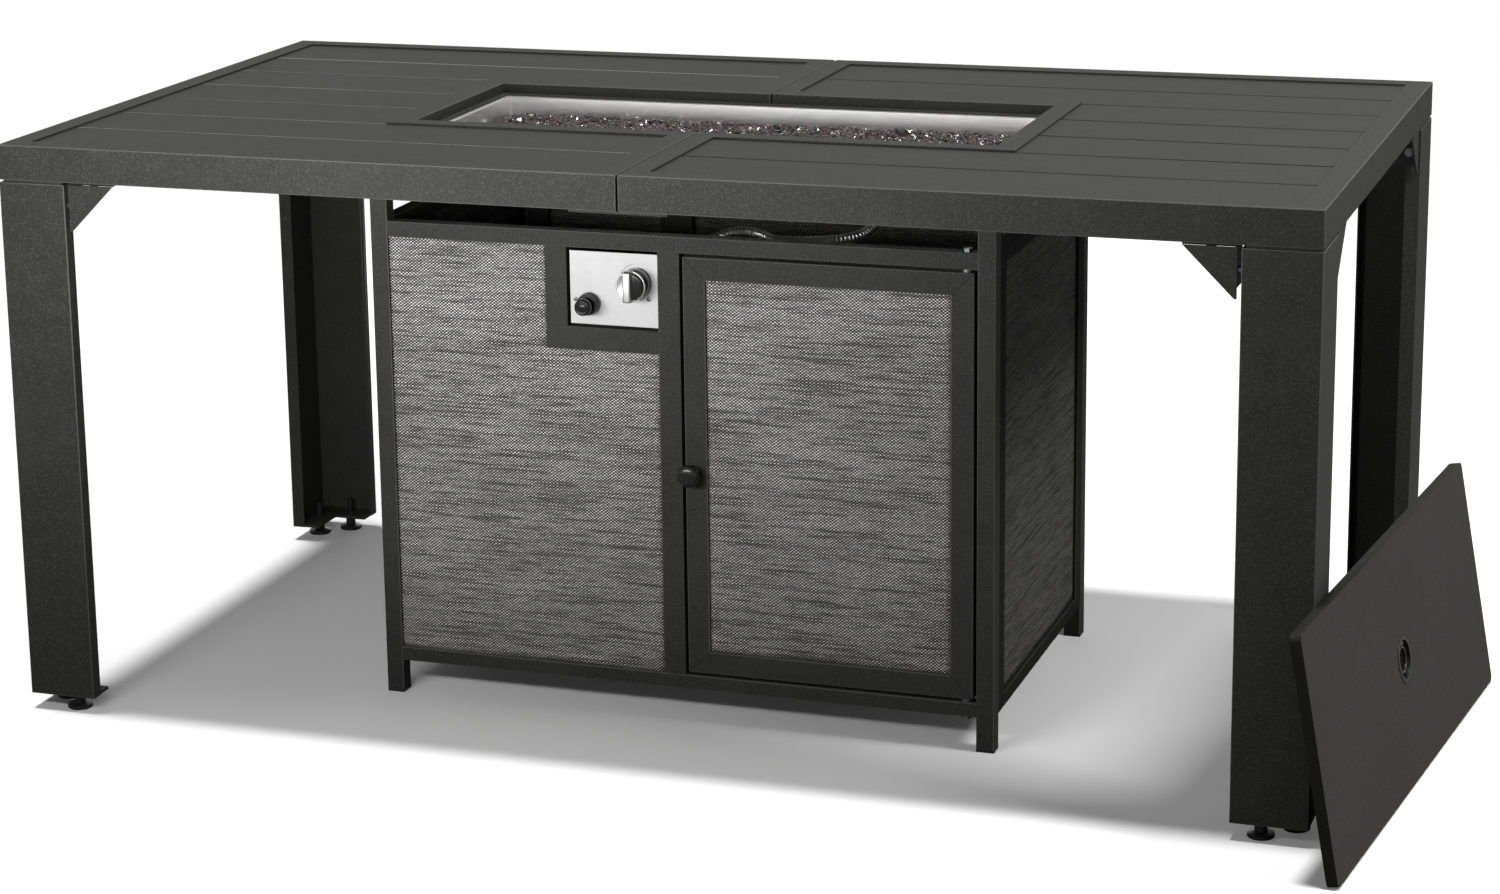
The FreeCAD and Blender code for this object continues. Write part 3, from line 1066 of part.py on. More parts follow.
    top = "PanBottom"
    bottom = "PanBottom - MixerLength"
    elbow = about("FeedX", "MixerBlock / 2"), about("0", "MixerBlock / 2"), ("%s - MixerBlock" % bottom, bottom)
    port_z = "%s - MixerBlock / 2" % bottom
    mixer = weld("mixer_solid", [
        rod("mixer_barrel", "MixerRadius", "MixerLength", ("FeedX", "0", bottom)),
        block("mixer_elbow", *elbow),
        rod("mixer_spigot", "SpigotRadius", "SpigotLength + MixerBlock / 4",
            ("FeedX", "-MixerBlock / 2 - SpigotLength", port_z), "y")])
    window_z = "%s + MixerLength / 2 - MixerWindow / 2" % bottom
    node("air_mixer", cut(
        "mixer_bored", mixer,
        rod("mixer_socket", "FeedRadius + NutClear", "FeedDrop", ("FeedX", "0", top + " - FeedDrop")),
        rod("mixer_throat", "FeedRadius * 0.7", "MixerLength - FeedDrop / 2",
            ("FeedX", "0", "%s + FeedDrop / 2" % bottom)),
        block("mixer_window_x", about("FeedX", "2 * MixerRadius"), about("0", "MixerRadius / 3"),
              about(window_z, "MixerWindow")),
        block("mixer_window_y", about("FeedX", "MixerRadius / 3"), about("0", "2 * MixerRadius"),
              about(window_z, "MixerWindow")),
        rod("mixer_inlet", "HoseBore", "MixerBlock / 2 + SpigotLength",
            ("FeedX", "-MixerBlock / 2 - SpigotLength", port_z), "y"),
        rod("mixer_orifice", "PortRadius", "MixerBlock", ("FeedX", "0", port_z))))

    plate_ys = about("SensorY", "SensorHalf / 2")
    foot_piece = cut("sensor_foot", block("sensor_foot_plate", about("SensorX", "SensorHalf"), plate_ys,
                                          (PAN_FLOOR, PAN_FLOOR + " + PanGauge")),
                     *[rod("sensor_foot_hole%d" % i, "SensorRadius + RunClear", "3 * PanGauge",
                           (x, "SensorY", "PanBottom")) for i, x in enumerate(sensor_spots)])
    shield = weld("sensor_shield", [foot_piece, block(
        "sensor_shield_plate", about("SensorX", "SensorHalf"), (plate_ys[0], plate_ys[0] + " + PanGauge"),
        (PAN_FLOOR, "SensorTop"))])
    node("ignition_bracket", group("sensor_set", [shield] + [
        rod("sensor%d" % i, "SensorRadius", "SensorTop - PanBottom + SensorBelow",
            (x, "SensorY", "PanBottom - SensorBelow")) for i, x in enumerate(sensor_spots)]))


def port_reach():
    """How many ports lie on each side of the burner's middle."""
    return int((size("BurnerLength") / 2 - 2 * size("BurnerRadius")) / size("PortPitch"))


def rounded_path(points, label):
    """Straight runs joined by tangent arcs, each arc as large as its runs allow."""
    edges = []
    last = points[0]
    radii = []
    for before, here, after in zip(points, points[1:], points[2:]):
        back, ahead = before - here, after - here
        turn = math.pi - back.getAngle(ahead)
        reach = 0.45 * min(back.Length, ahead.Length)
        radii.append(reach / math.tan(turn / 2))
        start = here + back.normalize() * reach
        end = here + ahead.normalize() * reach
        middle = (start + end) * 0.5
        bow = (here - middle).normalize() * (radii[-1] * (1 / math.cos(turn / 2) - 1))
        edges.append(Part.LineSegment(last, start).toShape())
        edges.append(Part.Arc(start, here - bow, end).toShape())
        last = end
    edges.append(Part.LineSegment(last, points[-1]).toShape())
    print("%s: arcs of radius %s mm" % (label, ", ".join("%.0f" % radius for radius in radii)))
    return Part.Wire(edges)


def station(wire, distance):
    """Point and direction at a distance along a wire, straight on past its ends."""
    left = distance
    for edge in wire.Edges:
        if left <= edge.Length:
            break
        left -= edge.Length
    inside = min(max(left, 0.0), edge.Length)
    parameter = edge.getParameterByLength(inside)
    ahead = edge.tangentAt(parameter)
    return edge.valueAt(parameter) + ahead * (left - inside), ahead


def hoop(spot, ahead, radius):
    """A circle square to a path, with its seam kept upwards."""
    upward = Vector(0, 0, 1)
    axis = (upward - ahead * upward.dot(ahead)).normalize()
    edge = Part.makeCircle(radius)
    edge.Placement = Placement(spot, Rotation(axis, ahead.cross(axis), ahead, "ZXY"))
    return Part.Wire(edge)


def valve_spot(aside, deep):
    """A point of the valve's body, from its middle and from its front."""
    front = (-size("CabinetDepth") / 2 + size("ControlSetback") + size("ControlGauge")
             + size("BracketGauge") + size("ValveStandoff"))
    return Vector(size("KnobX") + aside, front + deep, size("KnobZ"))


def hose_points():
    """Route of the gas hose, from the valve's outlet to the elbow of the mixer."""
    valve = valve_spot(0, size("ValveDeep") + size("OutletLength"))
    mixer = Vector(size("FeedX"), -size("MixerBlock") / 2 - size("SpigotLength"),
                   size("PanBottom") - size("MixerLength") - size("MixerBlock") / 2)
    leaving = ((0, 0, 0), (0, 23.5, 0), (11, 60, 8), (39, 83, 22.5), (75, 85, 38), (113, 67.5, 40.5),
               (142, 35, 39))
    arriving = ((-67, -137, -17), (-28, -124, -16), (-2, -93, -14.5), (5, -53, -3), (0, -26, 0), (0, 0, 0))
    return [valve + Vector(*step) for step in leaving] + [mixer + Vector(*step) for step in arriving]


def lead_points(word):
    """Route of the igniter wire or of the thermocouple lead up to the ignition bracket."""
    side = -1 if word == "igniter" else 1
    end = Vector(size("SensorX") + side * size("SensorPitch"), size("SensorY"),
                 size("PanBottom") - size("SensorBelow"))
    if word == "igniter":
        start = Vector(size("ButtonX"), -size("CabinetDepth") / 2 + size("ControlSetback")
                       + size("IgniterLength"), size("ButtonZ"))
        leaving = ((0, 0, 0), (0, 22, 0), (6, 56, 8), (25, 91, 21), (55, 118, 36))
        arriving = ((-67, -26, -57), (-33, -15, -41), (-12, -7, -29), (0, 0, -17), (0, 0, 0))
    else:
        start = valve_spot(size("ValveWidth") / 2, size("ValveDeep") / 2)
        leaving = ((0, 0, 0), (20, 0, 0), (51, 17, 2), (90, 52, 8), (128, 98, 16))
        arriving = ((33, -27, -48), (15, -8, -30), (0, 0, -17), (0, 0, 0))
    return [start + Vector(*step) for step in leaving] + [end + Vector(*step) for step in arriving]


def build_lines():
    """Ribbed gas hose and the two leads."""
    wire = rounded_path(hose_points(), "gas hose")
    straight = 2 * size("HoseRadius")
    count = int((wire.Length - 2 * straight) / size("HosePitch"))
    pitch = (wire.Length - 2 * straight) / count
    rings = [(0.0, "HoseRoot")]
    for i in range(count):
        start = straight + i * pitch
        rings += [(start, "HoseRoot"), (start + 0.25 * pitch, "HoseRadius"),
                  (start + 0.6 * pitch, "HoseRadius"), (start + 0.85 * pitch, "HoseRoot")]
    rings.append((wire.Length, "HoseRoot"))
    skin = Part.makeLoft([hoop(*station(wire, s), size(radius)) for s, radius in rings], True, True)
    steps = 2 * count
    bore = Part.makeLoft([hoop(*station(wire, -1 + i * (wire.Length + 2) / steps), size("HoseBore"))
                          for i in range(steps + 1)], True, True)
    hose = doc.addObject("Part::Feature", "ribbed_hose")
    hose.Shape = skin.cut(bore)
    node("gas_hose", hose)
    print("gas hose: length %.0f mm, %d ribs" % (wire.Length, count))
    for label, word in (("igniter_wire", "igniter"), ("thermocouple_lead", "thermocouple")):
        path = rounded_path(lead_points(word), label)
        spot, ahead = station(path, 0)
        lead = doc.addObject("Part::Feature", word + "_run")
        lead.Shape = path.makePipeShell([hoop(spot, ahead, size("LeadRadius"))], True, True)
        node(label, lead)
        expected = math.pi * size("LeadRadius") ** 2 * path.Length
        print("%s: length %.0f mm, volume %.3f of section times length"
              % (label, path.Length, lead.Shape.Volume / expected))


def lid_place():
    """Where the lid stands: on its rim on the floor, leaning on the corner of the front right leg."""
    lean, yaw = math.radians(size("LidLean")), math.radians(size("LidYaw"))
    along = Vector(math.sin(yaw), math.cos(yaw), 0)
    inward = Vector(-math.cos(yaw), math.sin(yaw), 0)
    up = Vector(0, 0, 1) * math.cos(lean) + inward * math.sin(lean)
    out = along.cross(up)
    tall = size("OpeningDepth") - 2 * size("LidClear")
    corner = Vector(size("TableLength") / 2 + size("LeanGap"), -size("TableDepth") / 2, 0)
    reach = (corner.y - size("LidNearEnd") - tall * up.y) / along.y
    base = Vector(corner.x - reach * along.x - tall * up.x, size("LidNearEnd"), 0)
    return Placement(base, Rotation(along, up, out, "ZXY"))


def build_lid():
    """Lid of the burner opening with its flush ring pull, drawn flat and then stood up."""
    length, tall = "OpeningLength - 2 * LidClear", "OpeningDepth - 2 * LidClear"
    mid_x, mid_y = "OpeningLength / 2 - LidClear", "OpeningDepth / 2 - LidClear"
    face = "LidDepth"
    sheet_under = "LidDepth - LidGauge"
    plate = cut("lid_tray", block("lid_blank", ("0", length), ("0", tall), ("0", face)),
                block("lid_hollow", ("LidGauge", length + " - LidGauge"), ("LidGauge", tall + " - LidGauge"),
                      ("-5", sheet_under)),
                rod("lid_hole", "CupRadius + BoltClear", "3 * LidGauge", (mid_x, mid_y, face + " - 2 * LidGauge")))
    pin_y = "%s + RingRadius + RingStand" % mid_y
    pin_z = "LidDepth - KnuckleRadius"
    cup = weld("cup_pressed", [
        rod("cup_rim", "CupRadius + CupFlange", "CupGauge", (mid_x, mid_y, face)),
        rod("cup_well", "CupRadius", "CupDepth", (mid_x, mid_y, face + " - CupDepth"))])
    well = rod("cup_hollow", "CupRadius - CupGauge", "CupDepth + 5", (mid_x, mid_y, face + " - CupDepth + CupGauge"))
    ears = [block("cup_ear%d" % side, flip_about(mid_x, side, ("KnuckleLength / 2 + CupGauge / 2",
                                                              "KnuckleLength / 2 + 2.5 * CupGauge")),
                  ("%s - RingPin" % pin_y, "%s + CupRadius" % mid_y),
                  (face + " - CupDepth", "%s + RingPin" % pin_z)) for side in (-1, 1)]
    pin = rod("cup_pin", "RingPin", "KnuckleLength + 4 * CupGauge",
              ("%s - KnuckleLength / 2 - 2 * CupGauge" % mid_x, pin_y, pin_z), "x")
    inside = doc.addObject("Part::Common", "cup_fittings")
    inside.Base = weld("cup_ears", ears + [pin])
    inside.Tool = rod("cup_bound", "CupRadius", "CupDepth", (mid_x, mid_y, face + " - CupDepth"))
    shell = cut("cup_shell", cup, well)
    hoop_ring = doc.addObject("Part::Torus", "pull_ring")
    hoop_ring.setExpression("Radius1", ex("RingRadius"))
    hoop_ring.setExpression("Radius2", ex("RingWire"))
    locate(hoop_ring, mid_x, mid_y, pin_z)
    eye_start = ("%s - KnuckleLength / 2" % mid_x, pin_y, pin_z)
    eye = rod("pull_eye", "KnuckleRadius", "KnuckleLength", eye_start, "x")
    eye_bore = rod("pull_eye_bore", "RingPin + RunClear", "KnuckleLength", eye_start, "x")
    pieces = (("lid_panel", plate), ("lid_cup", weld("cup_fitted", [shell, inside])),
              ("lid_ring", cut("pull", weld("pull_welded", [hoop_ring, eye]), eye_bore)))
    for label, piece in pieces:
        stood = group(label + "_stood", [piece])
        stood.Placement = lid_place()
        node(label, stood)


def flip_about(centre, side, span):
    """A span beside a centre, or its mirror image on the other side."""
    low, high = flip(side, span)
    return "(%s) + (%s)" % (centre, low), "(%s) + (%s)" % (centre, high)


def export():
    """Checks every object and writes one file per piece."""
    doc.recompute()
    for item in doc.Objects:
        if "Invalid" in item.State or "Error" in item.State:
            raise RuntimeError("%s did not compute: %s" % (item.Label, item.State))
    for piece in NODES:
        if piece.Shape.isNull() or not piece.Shape.isValid() or not piece.Shape.Solids:
            raise RuntimeError("%s has no valid solid" % piece.Label)
    os.makedirs("parts", exist_ok=True)
    whole = FreeCAD.BoundBox()
    for piece in NODES:
        piece.Shape.exportStep("parts/%s.step" % piece.Label)
        whole.add(piece.Shape.BoundBox)
        print("%-28s %3d solids %10.1f cm3" % (piece.Label, len(piece.Shape.Solids),
                                              piece.Shape.Volume / 1000))
    print("%d pieces, %.1f x %.1f x %.1f mm" % (len(NODES), whole.XLength, whole.YLength, whole.ZLength))


build_top()
build_corners()
build_bolts()
build_cabinet()
build_door()
build_burner(build_controls())
build_lines()
build_lid()
export()
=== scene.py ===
"""Looks of a patio fire pit table: coated steel, woven sling cloth, a glass bed and its gas train.

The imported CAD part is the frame. Each sub-assembly here dresses its own nodes or stands for them,
and every piece rides on the body that carries it.
"""

import logging
import math
from dataclasses import dataclass, field
from enum import Enum
from typing import Callable, Iterable, Optional, Sequence

import bmesh
import bpy
from mathutils import Matrix, Vector


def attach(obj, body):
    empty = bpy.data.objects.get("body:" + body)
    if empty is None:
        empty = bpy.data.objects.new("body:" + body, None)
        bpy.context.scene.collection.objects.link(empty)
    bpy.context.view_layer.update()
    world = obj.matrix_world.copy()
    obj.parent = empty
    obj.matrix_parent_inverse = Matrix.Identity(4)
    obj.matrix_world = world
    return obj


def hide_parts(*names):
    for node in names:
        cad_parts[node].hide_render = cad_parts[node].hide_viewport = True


LOG = logging.getLogger("fire_pit_table")
Colour = tuple[float, float, float, float]
Point = tuple[float, float, float]
Node = bpy.types.Node
Outputs = bpy.types.NodeOutputs
Piece = bpy.types.Object
Profile = tuple[tuple[float, float], ...]
Polygon = bpy.types.MeshPolygon
Socket = bpy.types.NodeSocket
Tree = bpy.types.NodeTree
Work = bmesh.types.BMesh
FLOAT, COUNT, VECTOR = "NodeSocketFloat", "NodeSocketInt", "NodeSocketVector"
CLOTH_UV = "cloth_metres"
# Face attribute that marks rounded edges for a painted highlight.
PAINTED_EDGE_HIGHLIGHT = "painted_edge_highlight"

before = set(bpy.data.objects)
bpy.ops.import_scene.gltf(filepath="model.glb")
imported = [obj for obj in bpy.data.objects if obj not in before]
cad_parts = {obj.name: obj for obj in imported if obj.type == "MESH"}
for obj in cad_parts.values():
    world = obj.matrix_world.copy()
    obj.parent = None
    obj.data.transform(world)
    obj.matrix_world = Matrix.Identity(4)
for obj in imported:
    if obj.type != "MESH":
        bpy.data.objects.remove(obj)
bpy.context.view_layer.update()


class Body(Enum):
    """The bodies that new pieces ride on."""

    TABLE = "table"
    DOOR = "door"
    KNOB = "knob"
    BUTTON = "button"
    LID = "lid"


class Slot(Enum):
    """Names of material slots, one for each kind of finish."""

    COAT = "coated_steel"
    CLOTH = "woven_mesh"
    ZINC = "zinc_steel"
    PLATE = "satin_plate"
    PLASTIC = "black_plastic"
    HOSE = "flex_metal"
    RUBBER = "lead_rubber"
    GLASS = "dark_glass"


class Facing(Enum):
    """The side of the cabinet that a sheet of cloth closes."""

    FRONT = (0, -1)
    REAR = (0, 1)
    LEFT = (-1, 0)
    RIGHT = (1, 0)


def grey(value: float) -> Colour:
    """A neutral colour of that linear value."""
    return (value, value, value, 1.0)


def metres(*lengths: float) -> tuple[float, ...]:
    """Lengths in millimetres as metres."""
    return tuple(length / 1000.0 for length in lengths)


def route(*spots: Point) -> tuple[Point, ...]:
    """A cord's control points, from millimetres."""
    return tuple(metres(*spot) for spot in spots)


# Node trees


@dataclass
class Wiring:
    """Adds and links the nodes of one tree."""

    tree: Tree

    def node(self, kind: str, inputs: Optional[dict] = None, **settings: object) -> Node:
        """Adds a node.

        Args:
            kind: The node's type name.
            inputs: Values or output sockets, by input name or number.
            **settings: The node's own properties.

        Returns:
            The new node.
        """
        made = self.tree.nodes.new(kind)
        for name, value in settings.items():
            setattr(made, name, value)
        self.fill(made, inputs or {})
        return made

    def out(self, kind: str, inputs: Optional[dict] = None, **settings: object) -> Socket:
        """Adds a node as node() does, and returns its first output."""
        return self.node(kind, inputs, **settings).outputs[0]

    def fill(self, node: Node, inputs: dict) -> None:
        """Links output sockets to a node's inputs, or writes plain values on them.

        Args:
            node: The node.
            inputs: Values or output sockets, by input name or number.
        """
        for name, value in inputs.items():
            if isinstance(value, Socket):
                self.tree.links.new(value, node.inputs[name])
            else:
                node.inputs[name].default_value = value

    def math(self, operation: str, *values: object) -> Socket:
        """A Math node's result."""
        return self.out("ShaderNodeMath", dict(enumerate(values)), operation=operation)

    def times(self, one: object, other: object) -> Socket:
        """A product."""
        return self.math("MULTIPLY", one, other)

    def minus(self, one: object, other: object) -> Socket:
        """A difference."""
        return self.math("SUBTRACT", one, other)

    def mixed(self, one: Socket, share: float, other: Socket) -> Socket:
        """The sum of a value at its share and another at the rest."""
        return self.math("MULTIPLY_ADD", one, share, self.times(other, 1.0 - share))

    def blend(self, factor: object, dark: object, light: object) -> Socket:
        """A colour between two colours, which are the Mix node's inputs 6 and 7."""
        return self.node("ShaderNodeMix", {0: factor, 6: dark, 7: light}, data_type="RGBA").outputs[2]

    def between(self, value: object, low: float, high: float) -> Socket:
        """A value from 0 to 1 spread from low to high."""
        return self.out("ShaderNodeMapRange", {"Value": value, "To Min": low, "To Max": high})

    def step(self, value: object, low: float, high: float) -> Socket:
        """A smooth step that is 0 below low and 1 above high."""
        ends = {"Value": value, "From Min": low, "From Max": high}
        return self.out("ShaderNodeMapRange", ends, interpolation_type="SMOOTHSTEP")

    def noise(self, vector: Socket, scale: object, detail: float) -> Socket:
        """A noise factor."""
        return self.out("ShaderNodeTexNoise", {"Vector": vector, "Scale": scale, "Detail": detail})

    def parts(self, vector: Socket) -> Outputs:
        """The three parts of a vector."""
        return self.node("ShaderNodeSeparateXYZ", {0: vector}).outputs

    def vector(self, *parts: Socket) -> Socket:
        """A vector of two or three parts."""
        return self.out("ShaderNodeCombineXYZ", dict(enumerate(parts)))

    def stretched(self, vector: Socket, scale: Point) -> Socket:
        """A vector scaled by its own amount along each axis."""
        return self.out("ShaderNodeMapping", {"Vector": vector, "Scale": scale})

    def bump(self, height: Socket, depth: float, strength: float) -> Socket:
        """A normal bumped by a height, of which 1 stands for the depth in metres."""
        return self.out("ShaderNodeBump", {"Height": height, "Distance": depth, "Strength": strength})

    def effect(self, tree: Tree, at: Socket, **values: object) -> Outputs:
        """Places an effect's group.

        Args:
            tree: The group.
            at: The vector that it reads.
            **values: Its other inputs.

        Returns:
            The group's outputs.
        """
        return self.node("ShaderNodeGroup", {"Vector": at, **values}, node_tree=tree).outputs


@dataclass
class EffectGroups:
    """Shader node groups for the effects that several finishes share, each built once."""

    built: dict[str, Tree] = field(default_factory=dict)

    def group(
        self,
        name: str,
        inputs: dict[str, Optional[float]],
        outputs: Sequence[str],
        wire: Callable[[Wiring, Outputs], Sequence[Socket]],
    ) -> Tree:
        """Builds a group on its first use.

        Args:
            name: The group's name.
            inputs: The value of each number that it takes, or None for a vector.
            outputs: The names of its outputs, all of them numbers.
            wire: Wires the group from its inputs to its outputs, which it returns in order.

        Returns:
            The group.
        """
        if name not in self.built:
            tree = bpy.data.node_groups.new(name, "ShaderNodeTree")
            for label, value in inputs.items():
                kind = VECTOR if value is None else FLOAT
                socket = tree.interface.new_socket(label, in_out="INPUT", socket_type=kind)
                if value is not None:
                    socket.default_value = value
            for label in outputs:
                tree.interface.new_socket(label, in_out="OUTPUT", socket_type=FLOAT)
            wires = Wiring(tree)
            results = wire(wires, wires.node("NodeGroupInput").outputs)
            wires.node("NodeGroupOutput", dict(zip(outputs, results)))
            self.built[name] = tree
        return self.built[name]

    def powder_grain(self) -> Tree:
        """Orange peel and fine grit of a baked powder coat.

        Returns:
            The group.
        """

        def wire(wires: Wiring, given: Outputs) -> Sequence[Socket]:
            """Fine noise over wider ripples.

            Args:
                wires: The group's wiring.
                given: The group's inputs.

            Returns:
                The group's outputs, in order.
            """
            ripple = wires.noise(given["Vector"], scale=340.0, detail=1.0)
            grit = wires.noise(given["Vector"], scale=620.0, detail=3.0)
            height = wires.math("MULTIPLY_ADD", grit, given["Grit"], ripple)
            return height, wires.step(grit, 0.5, 0.72)

        return self.group("powder_grain", {"Vector": None, "Grit": 0.6}, ("Height", "Speck"), wire)

    def cloudiness(self) -> Tree:
        """Broad, faint changes of tone from handling and dust.

        Returns:
            The group.
        """

        def wire(wires: Wiring, given: Outputs) -> Sequence[Socket]:
            """Two sizes of cloud, mixed.

            Args:
                wires: The group's wiring.
                given: The group's inputs.

            Returns:
                The group's outputs, in order.
            """
            broad = wires.noise(given["Vector"], given["Scale"], detail=2.0)
            fine = wires.noise(given["Vector"], wires.times(given["Scale"], 9.0), detail=3.0)
            return (wires.step(wires.mixed(fine, 0.35, broad), 0.3, 0.7),)

        return self.group("cloudiness", {"Vector": None, "Scale": 4.0}, ("Cloud",), wire)

    def sling_weave(self) -> Tree:
        """Coated yarns of a sling cloth: brick-laid dots, slubs along the weft and a height.

        Returns:
            The group.
        """

        def wire(wires: Wiring, given: Outputs) -> Sequence[Socket]:
            """Rows of yarn humps, half a cell apart, each row with its own run of light and dark.

            Args:
                wires: The group's wiring.
                given: The group's inputs.

            Returns:
                The group's outputs, in order.
            """
            at, cell, share = given["Vector"], given["Cell"], given["Slub"]
            weft, warp, _ = wires.parts(at)
            up = wires.math("DIVIDE", warp, wires.times(cell, 0.39))
            row = wires.math("FLOOR", up)
            offset = wires.math("MODULO", row, 2.0)
            across = wires.math("MULTIPLY_ADD", offset, 0.5, wires.math("DIVIDE", weft, cell))
            aside = wires.minus(wires.math("FRACT", across), 0.5)
            above = wires.minus(wires.math("FRACT", up), 0.5)
            squares = wires.math("MULTIPLY_ADD", wires.times(aside, 1.7), aside, wires.times(above, above))
            hump = wires.minus(1.0, wires.step(wires.math("SQRT", squares), 0.24, 0.52))
            yarn = wires.vector(wires.math("FLOOR", across), row)
            each = wires.between(wires.out("ShaderNodeTexWhiteNoise", {"Vector": yarn}), 0.62, 1.0)
            run = wires.vector(wires.times(weft, 9.0), wires.times(row, 3.7))
            short = wires.vector(wires.times(weft, 30.0), wires.times(row, 5.3))
            slub = wires.mixed(wires.noise(short, 1.0, detail=1.0), 0.35, wires.noise(run, 1.0, detail=2.0))
            streak = wires.step(slub, 0.36, 0.56)
            broad = wires.noise(wires.stretched(at, (5.0, 16.0, 1.0)), 1.0, detail=2.0)
            lit = wires.math("MULTIPLY_ADD", streak, share, wires.minus(1.0, share))
            lit = wires.times(lit, wires.between(wires.step(broad, 0.3, 0.7), 0.82, 1.0))
            return wires.times(wires.times(hump, lit), each), hump

        inputs = {"Vector": None, "Cell": 0.0048, "Slub": 0.66}
        return self.group("sling_weave", inputs, ("Yarn", "Height"), wire)

    def brushed_lines(self) -> Tree:
        """Fine parallel scratches of brushed or turned metal.

        Returns:
            The group.
        """

        def wire(wires: Wiring, given: Outputs) -> Sequence[Socket]:
            """Noise pulled out along one axis.

            Args:
                wires: The group's wiring.
                given: The group's inputs.

            Returns:
                The group's outputs, in order.
            """
            return (wires.noise(wires.stretched(given["Vector"], (6.0, 1600.0, 1600.0)), 1.0, detail=2.0),)

        return self.group("brushed_lines", {"Vector": None}, ("Line",), wire)

    def mitre_seams(self) -> Tree:
        """Hairlines across the corners of a frame of square tube, where its bars are mitred.

        Returns:
            The group.
        """

        def wire(wires: Wiring, given: Outputs) -> Sequence[Socket]:
            """The diagonal of each corner, as far in as the bar is wide.

            Args:
                wires: The group's wiring.
                given: The group's inputs.

            Returns:
                The group's outputs, in order.
            """
            at, half = wires.parts(given["Vector"]), wires.parts(given["Half"])
            across = wires.minus(wires.math("ABSOLUTE", at[0]), half[0])
            along = wires.minus(wires.math("ABSOLUTE", at[2]), half[2])
            gap = wires.math("ABSOLUTE", wires.minus(across, along))
            line = wires.minus(1.0, wires.step(gap, 0.0002, 0.0009))
            inner = wires.math("MINIMUM", across, along)
            near = wires.math("GREATER_THAN", inner, wires.times(given["Bar"], -1.0))
            return (wires.times(line, near),)

        return self.group("mitre_seams", {"Vector": None, "Half": None, "Bar": 0.028}, ("Seam",), wire)


EFFECTS = EffectGroups()


# Finishes


@dataclass(frozen=True)
class Finish:
    """A finish that makes its material on first use."""

    name: str

    def material(self) -> bpy.types.Material:
        """The material, built once.

        Returns:
            The material.
        """
        made = bpy.data.materials.get(self.name)
        if made is None:
            made = bpy.data.materials.new(self.name)
            made.use_nodes = True
            made.node_tree.nodes.clear()
            wires = Wiring(made.node_tree)
            shader = wires.node("ShaderNodeBsdfPrincipled", self.wire(wires))
            wires.node("ShaderNodeOutputMaterial", {"Surface": shader.outputs[0]})
        return made

    def wire(self, wires: Wiring) -> dict[str, object]:
        """The shader's inputs by name. Each finish has its own."""
        raise NotImplementedError

    def dress(self, *pieces: Piece) -> None:
        """Puts the material on every slot of the pieces.

        Args:
            *pieces: The pieces.
        """
        for piece in pieces:
            if not piece.material_slots:
                piece.data.materials.append(self.material())
            for place in piece.material_slots:
                place.material = self.material()

    def object_place(self, wires: Wiring, middle: Optional[Point] = None) -> Socket:
        """Object coordinates, centred on a point of the piece where one is given.

        Args:
            wires: The material's wiring.
            middle: The point, in metres.

        Returns:
            The coordinates' socket.
        """
        place = wires.node("ShaderNodeTexCoord").outputs["Object"]
        if middle is None:
            return place
        return wires.out("ShaderNodeMapping", {"Vector": place, "Location": tuple(-c for c in middle)})


@dataclass(frozen=True)
class PowderCoat(Finish):
    """Charcoal powder coat on steel, with a painted highlight on its rounded edges and, on a frame, mitred
    corners.
    """

    tone: float = 0.029
    gloss: float = 0.58
    middle: Optional[Point] = None
    half: Point = (0.0, 0.0, 0.0)
    bar: float = 0.028
    sideways: bool = False
    warmth: float = 0.0
    sheen: float = 0.07

    def tinted(self, red: float, green: float, blue: float) -> Colour:
        """The coat's tone, warmed, with a factor for each part of the colour."""
        warm, cool = 1.0 + self.warmth, 1.0 - self.warmth
        return (self.tone * red * warm, self.tone * green, self.tone * blue * cool, 1.0)

    def seam(self, wires: Wiring) -> Socket:
        """The mitre lines of the frame round its middle.

        Args:
            wires: The material's wiring.

        Returns:
            A mask that is 1 on the lines.
        """
        spot = self.object_place(wires, self.middle)
        if self.sideways:
            x, y, z = wires.parts(spot)
            spot = wires.vector(y, x, z)
        return wires.effect(EFFECTS.mitre_seams(), spot, Half=self.half, Bar=self.bar)["Seam"]

    def wire(self, wires: Wiring) -> dict[str, object]:
        """Grain, clouds, a painted highlight on rounded edges, and seams.

        Args:
            wires: The material's wiring.

        Returns:
            The shader's inputs by name.
        """
        at = self.object_place(wires)
        grain = wires.effect(EFFECTS.powder_grain(), at)
        cloud = wires.effect(EFFECTS.cloudiness(), at)["Cloud"]
        colour = wires.blend(cloud, self.tinted(0.86, 0.88, 0.83), self.tinted(1.22, 1.24, 1.13))
        colour = wires.blend(wires.times(grain["Speck"], 0.7), colour, grey(self.tone * 2.6))
        # Rounded edges are lightened towards a pale grey: a painted highlight.
        edge_shine = wires.node("ShaderNodeAttribute", attribute_name=PAINTED_EDGE_HIGHLIGHT).outputs["Fac"]
        colour = wires.blend(wires.times(edge_shine, 0.5), colour, grey(self.tone * 4.0))
        height = grain["Height"]
        if self.middle is not None:
            seam = self.seam(wires)
            colour = wires.blend(wires.times(seam, 0.75), colour, grey(self.tone * 0.2))
            height = wires.minus(height, wires.times(seam, 1.5))
        return {
            "Base Color": colour,
            "Roughness": wires.between(cloud, self.gloss - 0.04, self.gloss + 0.06),
            "Specular IOR Level": self.sheen,
            "Normal": wires.bump(height, 0.00022, 0.5),
        }


